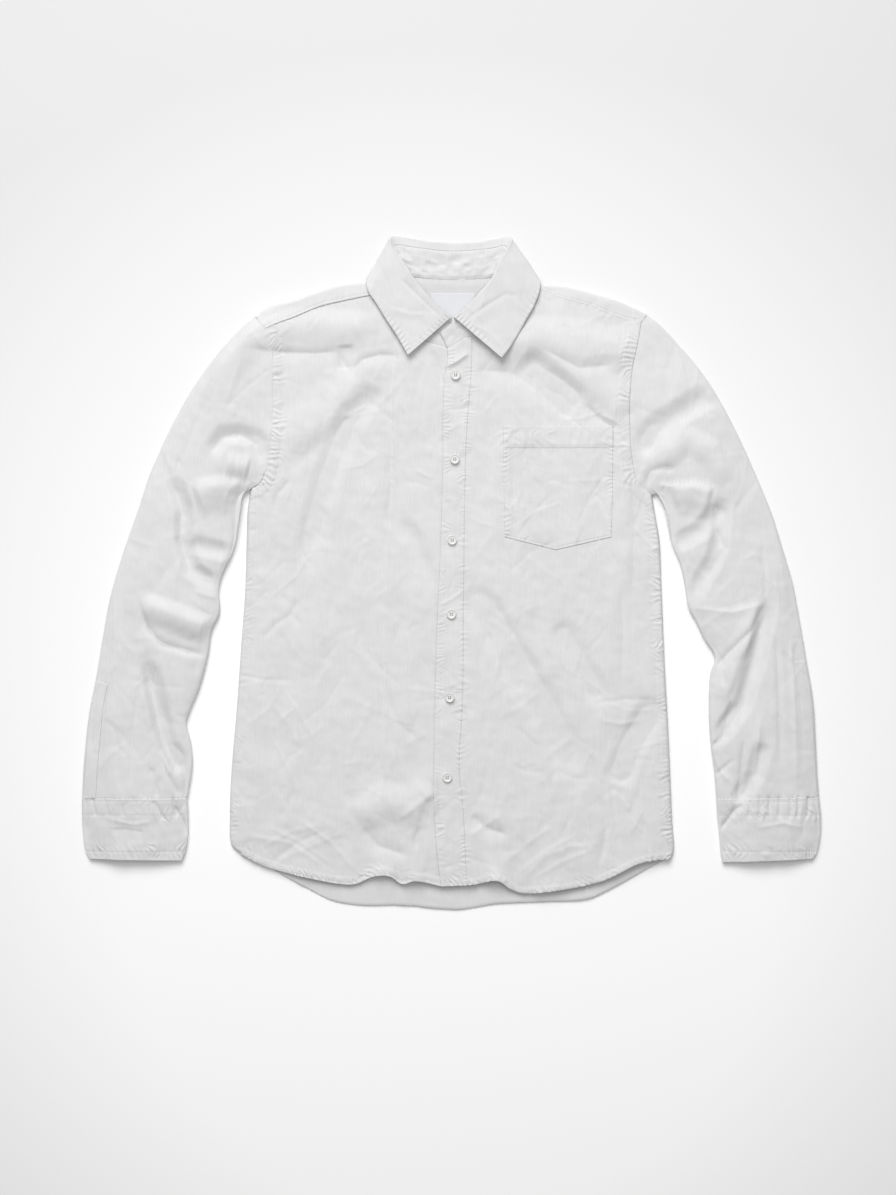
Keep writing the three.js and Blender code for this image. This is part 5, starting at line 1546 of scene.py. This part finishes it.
def yoke_grid(sections):
    """The yoke's points: a row for each section, from the back seam round to the front."""
    whole = [np.linalg.norm(s["ridge"] - s["foot"]) for s in sections]
    centres, directions = [], []
    for s, length in zip(sections, whole):
        at = 1 - YOKE_FOLD / length
        centre = s["foot"] + (s["ridge"] - s["foot"]) * at + bowed(s, np.array([at]))[0]
        away = s["ridge"] - centre
        centres.append(centre)
        directions.append(away / np.linalg.norm(away))
    centres = np.array(centres)
    crests = cloth_top(centres[:, 0], centres[:, 1]) + YOKE_RISE
    lines = []
    for s, length, centre, away, crest in zip(sections, whole, centres, directions, crests):
        straight = length - YOKE_FOLD
        stop = straight if s["end"] is None else min(straight, s["end"])
        run = np.linspace(0, stop, YOKE_POINTS["low"])[:, None]
        low = s["foot"] + (s["ridge"] - s["foot"]) * run / length + bowed(s, run[:, 0] / length)
        low = np.column_stack([low, yoke_lift(low[:, 1])])
        if s["flap"] is None:
            tail = np.repeat(low[-1:], YOKE_POINTS["turn"] + YOKE_POINTS["flap"], axis=0)
            tail[:, 1] += np.linspace(0.02, 0.4, len(tail))  # ends in a short neat edge
            lines.append(np.vstack([low, tail]))
            continue
        tilt = np.linspace(0, math.pi, YOKE_POINTS["turn"] + 1)[1:, None]
        base = yoke_lift(centre[1])
        turn = np.hstack([centre + away * YOKE_FOLD * np.sin(tilt),
                          base + (crest - base) / 2 * (1 - np.cos(tilt))])
        share = np.linspace(0, 1, YOKE_POINTS["flap"] + 1)[1:, None]
        flap = centre + (s["flap"] - centre) * share
        flap = np.column_stack([flap, np.full(len(flap), np.nan)])
        lines.append(np.vstack([low, turn, flap]))
    grid = np.array(lines)
    blank = np.isnan(grid[..., 2])
    grid[..., 2][blank] = cloth_top(grid[..., 0][blank], grid[..., 1][blank]) + YOKE_RISE
    return grid


yoke_sections = (shoulder_sections("right") + neck_sections("right")
                 + neck_sections("left")[::-1] + shoulder_sections("left")[::-1])
yoke_points = yoke_grid(yoke_sections)[:, ::-1]
for wearer_side in ("right", "left"):
    gap, _, _, _ = nearest(lines_of(wearer_side)[1], yoke_points[..., 0], yoke_points[..., 1], 12)
    face = yoke_points[..., 2] > YOKE_FACE
    pressed = groove(gap - YOKE_STITCH, 1.0) + groove(gap, 0.7)
    yoke_points[..., 2] -= face * YOKE_SINK * pressed
yoke = dressed(cloth_shell("yoke_panel", yoke_points, cotton, coarse=1), "yoke")
print("yoke", yoke_points.shape[:2])

# %% [markdown]
# ## Collar
#
# The stand is a band round the neck and the leaf is sewn to its top. From there the
# leaf rises, rolls over and falls outwards. At the back this roll is pressed flat and
# the leaf goes under the shirt. One table of stations, from the wearer's right end
# round the back to the left end, says where each seam, roll and edge lies.

# %% Collar leaf
STATIONS = 301
LEAF_CLOTH, STAND_CLOTH = 1.1, 1.2
LEAF_GAP = 0.9
LEAF_BEND = {"grip": 4, "folded_grip": 1.1, "rise": 0.45, "fall": 0.55, "droop": 0.35}
LEAF_COLUMNS = {"inside": 14, "outside": 45}
BAND_STEP = 0.01
EDGE_STITCH = 6.0
RIM_GATHERS = {"within": 60, "pitch": 5.4, "height": 0.8, "centre": 3.2, "width": 3.6}
RIM_WANDER = {"turns": 0.4, "over": 12.3, "swell": 0.4, "swell_over": 17}
RIM_GROOVE = {"deep": 0.16, "width": 1.1}
LEAF_CRUMPLE = {"share": 0.75, "shift": 300}  # taken from another place of the same noise
LEAF_ENDS = 0.25  # share of the stations that the leaf's end edges reach along
LEAF_HIDDEN = {"columns": 4, "share": 0.35}  # inside the roll the detail is weaker

# creases of the leaves, along their plan
LEAF_CREASES = table(FOLD_COLUMNS, [
    (-0.9, 7, 5, [(-60, 345), (-36, 322), (-13, 300)]),
    (0.7, 4, 9, [(-69, 309), (-48, 303), (-30, 302)]),
    (0.6, 6, 6, [(-76, 287), (-62, 268), (-52, 258)]),
    (-0.9, 5, 7, [(19, 296), (41, 312), (64, 326), (80, 324)]),
    (0.6, 5, 7, [(28, 290), (46, 280), (62, 262)]),
    (-0.7, 5, 5, [(84, 330), (92, 318), (97, 312)]),
])


def bezier(a, b, c, d, q):
    """Cubic curves, one for each station, at shares q."""
    q = q[None, :, None]
    a, b, c, d = (p[:, None] for p in (a, b, c, d))
    return a * (1 - q) ** 3 + 3 * b * q * (1 - q) ** 2 + 3 * c * q ** 2 * (1 - q) + d * q ** 3


def collar_run(column, t):
    """Places of one column of the collar's table at shares t of its stations."""
    return by_rows([row[column] for row in COLLAR], np.clip(t, 0, 1), 16)


def leaf_middle(t):
    """The leaf's middle surface: a row for each station, a column from band to edge."""
    band, roll, edge = (collar_run(column, t) for column in ("band", "roll", "edge"))
    turns = [math.radians(row["turn"]) for row in COLLAR]
    angle = np.interp(t * (len(COLLAR) - 1), np.arange(len(COLLAR)), turns)[:, None]
    ahead = unit(collar_run("band", t + BAND_STEP) - collar_run("band", t - BAND_STEP))
    rise = roll - band
    upward = unit(rise - ahead * np.sum(rise * ahead, axis=1, keepdims=True))
    start = band + upward * LEAF_GAP
    outward = unit((edge - roll) * (1, 1, 0))
    leaving = outward * np.cos(angle) - np.array([0, 0, 1]) * np.sin(angle)
    folded = angle / (math.pi / 2)
    grip = LEAF_BEND["grip"] + (LEAF_BEND["folded_grip"] - LEAF_BEND["grip"]) * folded
    height = np.linalg.norm(roll - start, axis=1, keepdims=True)
    fall = edge + (roll - edge) * LEAF_BEND["fall"]
    droop = LEAF_BEND["droop"] * np.cos(angle[:, 0])
    fall[:, 2] = edge[:, 2] + (roll[:, 2] - edge[:, 2]) * droop
    inside = bezier(start, start + upward * height * LEAF_BEND["rise"], roll - leaving * grip, roll,
                    np.linspace(0, 1, LEAF_COLUMNS["inside"]))
    outside = bezier(roll, roll + leaving * grip, fall, edge,
                     np.linspace(0, 1, LEAF_COLUMNS["outside"])[1:])
    return np.concatenate([inside, outside], axis=1)


def spread_out(grid, thickness):
    """The outer face of a wall whose middle is the grid."""
    return grid + grid_normals(grid) * thickness / 2


stations = np.linspace(0, 1, fitted(STATIONS, 2))
leaf = spread_out(leaf_middle(stations), LEAF_CLOTH)
x, y = leaf[..., 0], leaf[..., 1]
rim_gap = np.linalg.norm(leaf - leaf[:, -1:], axis=2)
rim_walk = walked(leaf[:, -1])[:, None] + 0 * rim_gap
for end, at_end in ((leaf[0], stations < LEAF_ENDS), (leaf[-1], stations > 1 - LEAF_ENDS)):
    gap, _, _, walk = nearest(end[LEAF_COLUMNS["inside"] - 1:, :2], x, y, RIM_GATHERS["within"])
    closer = at_end[:, None] & (gap < rim_gap)
    rim_gap, rim_walk = np.where(closer, gap, rim_gap), np.where(closer, walk, rim_walk)
turns = rim_walk / RIM_GATHERS["pitch"]
turns += RIM_WANDER["turns"] * np.sin(rim_walk / RIM_WANDER["over"])
swell = np.sin(rim_walk / RIM_WANDER["swell_over"])
ridges = np.sin(2 * math.pi * turns) * (1 - RIM_WANDER["swell"] + RIM_WANDER["swell"] * swell)
ridges *= (rim_gap < RIM_GATHERS["within"])
detail = RIM_GATHERS["height"] * ridges
detail *= groove(rim_gap - RIM_GATHERS["centre"], RIM_GATHERS["width"])
detail -= RIM_GROOVE["deep"] * groove(rim_gap - EDGE_STITCH, RIM_GROOVE["width"])
detail += fold_height(LEAF_CREASES, x, y, crisp_fold)
detail += LEAF_CRUMPLE["share"] * crumple(x + LEAF_CRUMPLE["shift"], y)
outside_columns = np.arange(leaf.shape[1]) >= LEAF_COLUMNS["inside"] - LEAF_HIDDEN["columns"]
detail *= np.where(outside_columns, 1, LEAF_HIDDEN["share"])
leaf = leaf + grid_normals(leaf) * detail[..., None]
collar = dressed(cloth_shell("collar_leaf", leaf, cotton, LEAF_CLOTH, coarse=2), "collar")
print("collar leaf", leaf.shape[:2])

# %% Collar stand
STAND_COLUMNS = 25
STAND_FOOT = 0.9  # how far the foot is pressed down at the neck seam
STAND_TUCK = 1.2  # the stand's foot runs on over the neck seam
STAND_HIGH = 34  # so that its noise is as long as it is high
FOOT_ROW, HEAD_ROW = 0.1, 0.86  # shares of its height where gathers lie
STAND_NOISE = table(("cell", "turn", "seed", "longer", "height"), [
    (3.1, 0, 61, 2.2, 0.3), (12, 0.5, 62, 1.0, 1.3), (6, 0.2, 63, 0.7, 0.9),
])

rows = [BAND_ENDS["right"], *COLLAR, BAND_ENDS["left"]]
seam = by_rows([row["seam"] for row in rows], stations, 16)
band = by_rows([row["band"] for row in rows], stations, 16)
seam = seam - unit(band - seam) * STAND_TUCK
share = np.linspace(0, 1, STAND_COLUMNS)[None, :, None]
stand = spread_out(seam[:, None] * (1 - share) + band[:, None] * share, STAND_CLOTH)
stand_walk = walked(band)[:, None]
share = share[..., 0]
ripple, soft, softer = (
    row["height"] * noise(stand_walk, STAND_HIGH * share, row["cell"], row["turn"], row["seed"],
                          row["longer"])
    for row in STAND_NOISE)
ripple = ripple * (groove(share - FOOT_ROW, 0.14) + groove(share - HEAD_ROW, 0.18))
sunk = 0.22 * (groove(share - 0.13, 0.045) + groove(share - 0.9, 0.04))
middle = np.sin(math.pi * np.clip(share, 0, 1))
stand = stand - grid_normals(stand) * (ripple - sunk + (soft + softer) * middle)[..., None]
stand[..., 2] -= STAND_FOOT * np.clip(1 - share / 0.12, 0, 1)
collar_stand = dressed(cloth_shell("stand", stand, cotton, STAND_CLOTH, coarse=2), "collar_stand")
print("collar stand", stand.shape[:2])

# %% Neck label
LABEL_CLOTH = 0.45
LABEL_CURL = 0.7
LABEL_REST = 1.35  # height of its middle over the floor

u, v = np.meshgrid(np.linspace(-0.5, 0.5, 53), np.linspace(0.5, -0.5, 37))
x, y = LABEL["x"] + LABEL["width"] * u, LABEL["y"] + LABEL["height"] * v
curl = LABEL_CURL * (np.abs(2 * u) ** 3 * 0.5 + np.abs(2 * v) ** 4 * 0.4)
label_grid = np.dstack([x, y, LABEL_REST + curl + 0.25 * noise(x, y, 17, 0.6, 9)])
label = dressed(cloth_shell("blank_label", label_grid, satin, LABEL_CLOTH), "neck_label")
print("label", label_grid.shape[:2])

# %% [markdown]
# ## Buttons
#
# Nine alike, so one is turned and the rest share its mesh. A lathe profile gives the
# rim and the dish, four drilled holes come from a Boolean modifier, and two short
# bars of thread cross between them. Each front button leans with the cloth under it.

# %% One button
BUTTON = {"hole": 0.85, "spread": 1.5}  # radius of a hole, and of the ring of holes
BUTTON_EDGE = math.radians(40)  # sharper edges than this stay sharp
THREAD_BAR = {"z": 1.6, "apart": 0.22, "radius": 0.26, "bow": 0.5}
BUTTON_PROFILE = [
    (0.0, 0.0), (4.4, 0.0), (5.2, 0.25), (5.6, 0.8), (5.7, 1.3), (5.65, 1.8), (5.4, 2.2),
    (5.1, 2.38), (4.8, 2.36), (4.55, 2.2), (4.3, 1.95), (3.9, 1.82), (2.5, 1.76), (0.0, 1.75),
]
LATHE_STEPS = 48


def lathe(name, profile, steps):
    """A turned solid from its profile of (radius, height)."""
    ring = np.linspace(0, 2 * math.pi, steps, endpoint=False)
    points, faces = [(0, 0, profile[0][1])], []
    for r, z in profile[1:-1]:
        points += [(r * math.cos(a), r * math.sin(a), z) for a in ring]
    points.append((0, 0, profile[-1][1]))
    last = len(points) - 1
    for k in range(steps):
        n = (k + 1) % steps
        faces.append((0, 1 + n, 1 + k))
        for row in range(len(profile) - 3):
            a, b = 1 + row * steps, 1 + (row + 1) * steps
            faces.append((a + k, a + n, b + n, b + k))
        top = 1 + (len(profile) - 3) * steps
        faces.append((top + k, top + n, last))
    mesh = bpy.data.meshes.new(name)
    mesh.from_pydata([tuple(c * MM for c in p) for p in points], [], faces)
    piece = bpy.data.objects.new(name, mesh)
    bpy.context.scene.collection.objects.link(piece)
    return piece


def drilled_button():
    """The mesh of one four-hole button."""
    disc = lathe("button turned", BUTTON_PROFILE, LATHE_STEPS)
    drills = []
    for hole in range(4):
        angle = (hole + 0.5) * math.pi / 2
        drill = lathe("drill", [(0, -2), (BUTTON["hole"], -2), (BUTTON["hole"], 5), (0, 5)], 16)
        drill.location = (BUTTON["spread"] * math.cos(angle) * MM,
                          BUTTON["spread"] * math.sin(angle) * MM, 0)
        cut = disc.modifiers.new("hole", "BOOLEAN")
        cut.operation = "DIFFERENCE"
        cut.solver = "EXACT"
        cut.object = drill
        drills.append(drill)
    bpy.context.view_layer.update()
    evaluated = disc.evaluated_get(bpy.context.evaluated_depsgraph_get())
    mesh = bpy.data.meshes.new_from_object(evaluated)
    for scrap in (disc, *drills):
        bpy.data.objects.remove(scrap)
    mesh.name = "shirt button"
    mesh.polygons.foreach_set("use_smooth", [True] * len(mesh.polygons))
    mesh.set_sharp_from_angle(angle=BUTTON_EDGE)
    mesh.materials.clear()
    mesh.materials.append(button_white)
    return mesh


def capsule(start, end, radius, sides=6, bow=0.0):
    """A short rounded bar of thread, as points and faces."""
    start, end = np.array(start, float), np.array(end, float)
    along_bar = unit(end - start)
    sideways = unit(np.cross(along_bar, (0, 0, 1.0)))
    up = np.cross(sideways, along_bar)
    points = [start]
    for q, r in ((0.12, 0.75), (0.5, 1.0), (0.88, 0.75)):
        centre = start + (end - start) * q + up * bow * (1 - (2 * q - 1) ** 2)
        for k in range(sides):
            a = 2 * math.pi * k / sides
            points.append(centre + radius * r * (math.cos(a) * sideways + math.sin(a) * up))
    points.append(end)
    faces = []
    for k in range(sides):
        n = (k + 1) % sides
        faces.append((0, 1 + k, 1 + n))
        for row in range(2):
            a, b = 1 + row * sides, 1 + (row + 1) * sides
            faces.append((a + k, b + k, b + n, a + n))
        faces.append((1 + 2 * sides + n, 1 + 2 * sides + k, 1 + 3 * sides))
    return points, faces


def joined(name, parts, material):
    """One mesh from many small sets of points and faces."""
    points, faces = [], []
    for part_points, part_faces in parts:
        shift = len(points)
        points += [tuple(p * MM) for p in part_points]
        faces += [tuple(i + shift for i in face) for face in part_faces]
    mesh = bpy.data.meshes.new(name)
    mesh.from_pydata(points, [], faces)
    mesh.polygons.foreach_set("use_smooth", [True] * len(mesh.polygons))
    mesh.materials.append(material)
    return mesh


button_mesh = drilled_button()
offset = BUTTON["spread"] / math.sqrt(2)
bars = []
for y in (-offset, offset):
    for nudge in (-THREAD_BAR["apart"], THREAD_BAR["apart"]):
        ends = [(x, y + nudge, THREAD_BAR["z"]) for x in (-offset, offset)]
        bars.append(capsule(*ends, THREAD_BAR["radius"], bow=THREAD_BAR["bow"]))
thread_mesh = joined("button thread", bars, thread_white)
print("button polygons:", len(button_mesh.polygons))

# %% [markdown]
# ## Topstitching
#
# Every stitch is a short raised bar of thread. A ray from above finds the cloth under
# both its ends, so the rows follow each fold, and a stitch is left out where its own
# piece doesn't lie on top.

# %% Topstitching
STITCH = {"pitch": 3.1, "length": 2.3, "radius": 0.17, "bow": 0.12}
PLACKET_ROWS = {"edge": 5.5, "stitch": 1.0}  # from the placket's two edges
RAY_FROM = 0.1  # metres over the floor
STITCH_FLOOR = 3.0  # lower down than this lies a hidden layer
LEAF_SHOWN = 0.28  # share of the collar's stations that show at each end


def down_on(piece, place):
    """The point of a piece right under a place, or None."""
    above = Vector((place[0] * MM, place[1] * MM, RAY_FROM))
    hit, spot, _, _ = piece.ray_cast(above, Vector((0, 0, -1)))
    return np.array(spot) / MM if hit and spot.z > STITCH_FLOOR * MM else None


def stitched(piece, line, offset):
    """Bars of thread along a line, offset to the side of it where the piece lies."""
    bars = []
    runs = (lean(line, offset), lean(line, -offset)) if offset else (line,)
    for run in runs:
        length = walked(run)[-1]
        for start in np.arange(1, length - STITCH["length"], STITCH["pitch"]):
            places = along(run, np.array([start, start + STITCH["length"]]) / length)
            ends = [down_on(piece, place) for place in places]
            if ends[0] is not None and ends[1] is not None:
                bars.append(capsule(*ends, STITCH["radius"], sides=5, bow=STITCH["bow"]))
    return bars


rim_start = LEAF_COLUMNS["inside"] - 1
shown = int(LEAF_SHOWN * len(leaf))
rows = [(placket, PLACKET_LINES[line], PLACKET_ROWS[line]) for line in ("edge", "stitch")]
rows += [(pocket, pocket_outline(), POCKET_STITCH),
         (placket, FRONT_HEM, HEM_BAND - TOPSTITCH_INSET),
         (pocket, pocket_level(POCKET_HEM_STITCH), 0),
         (front_left, smooth_run(OUTLINE["left"]["side"]), SIDE_BAND - TOPSTITCH_INSET)]
rows += [(collar, rim, EDGE_STITCH)
         for rim in (leaf[0, rim_start:, :2], leaf[-1, rim_start:, :2],
                     leaf[:shown, -1, :2], leaf[-shown:, -1, :2])]
for wearer_side, front in (("right", front_right), ("left", front_left)):
    armhole, yoke_seam, _ = lines_of(wearer_side)
    rows += [(front, armhole, ARMHOLE_BAND - TOPSTITCH_INSET),
             (front, FRONT_HEM, HEM_BAND - TOPSTITCH_INSET), (yoke, yoke_seam, YOKE_STITCH)]
    rows += [(cuffs[wearer_side], cuff_level(CUFF_SEAM_Y - row, wearer_side), 0)
             for row in CUFF_TOPSTITCH]
bpy.context.view_layer.update()
stitches = [bar for piece, line, offset in rows
            for bar in stitched(piece, np.asarray(line, float), offset)]
stitch_mesh = joined("topstitching", stitches, thread_white)
topstitching = bpy.data.objects.new("topstitching", stitch_mesh)
bpy.context.scene.collection.objects.link(topstitching)
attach(topstitching, "root")
print("stitches:", len(stitches))

# %% [markdown]
# The six front buttons sit on the placket, one on the collar band and one under each
# cuff. All share one mesh.

# %% Buttons on the shirt
BUTTON_SEAT = 0.15  # between a button and the cloth under it
SEAT_RISE = 0.45  # of the placket's crumple
SEAT_PROBE = 5  # how far from its middle a button feels the slope
CUFF_BUTTON_Z = 2.5


def seat_button(node, x, y, z, normal=(0, 0, 1)):
    """Puts a button and its thread on the cloth."""
    normal = Vector(normal).normalized()
    turn = Vector((0, 0, 1)).rotation_difference(normal)
    for mesh, name in ((button_mesh, node.replace("button", "shirt_button")),
                       (thread_mesh, node.replace("button", "thread"))):
        piece = bpy.data.objects.new(name, mesh)
        piece.location = (Vector((x, y, z)) + normal * BUTTON_SEAT) * MM
        piece.rotation_mode = "QUATERNION"
        piece.rotation_quaternion = turn
        bpy.context.scene.collection.objects.link(piece)
        if mesh is button_mesh:
            dressed(piece, node)
        else:
            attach(piece, "root")


for row in BUTTONS:
    probes = SEAT_PROBE * np.array([(0, 0), (1, 0), (-1, 0), (0, 1), (0, -1)], float)
    z = broad_form(*(probes + (row["x"], row["y"])).T)[0]
    normal = (-(z[1] - z[2]) / (2 * SEAT_PROBE), -(z[3] - z[4]) / (2 * SEAT_PROBE), 1)
    seat_button(row["name"], row["x"], row["y"], z[0] + LAYER + SEAT_RISE, normal)
seat_button(BAND_BUTTON["name"], BAND_BUTTON["x"], BAND_BUTTON["y"], BAND_BUTTON["z"])
for row in CUFF_BUTTON.values():
    seat_button(row["name"], row["x"], row["y"], CUFF_BUTTON_Z, (0, 0, -1))
print("buttons:", len(BUTTONS) + 1 + len(CUFF_BUTTON))

# %% [markdown]
# ## The end
#
# Every panel is a sheet of cloth. Last, the triangles of every piece that shows are counted.

# %% Triangles shown
bpy.context.view_layer.update()
triangles = 0
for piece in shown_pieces():
    mesh = piece.data
    triangles += sum(len(p.vertices) - 2 for p in mesh.polygons)
print("triangles shown:", triangles)
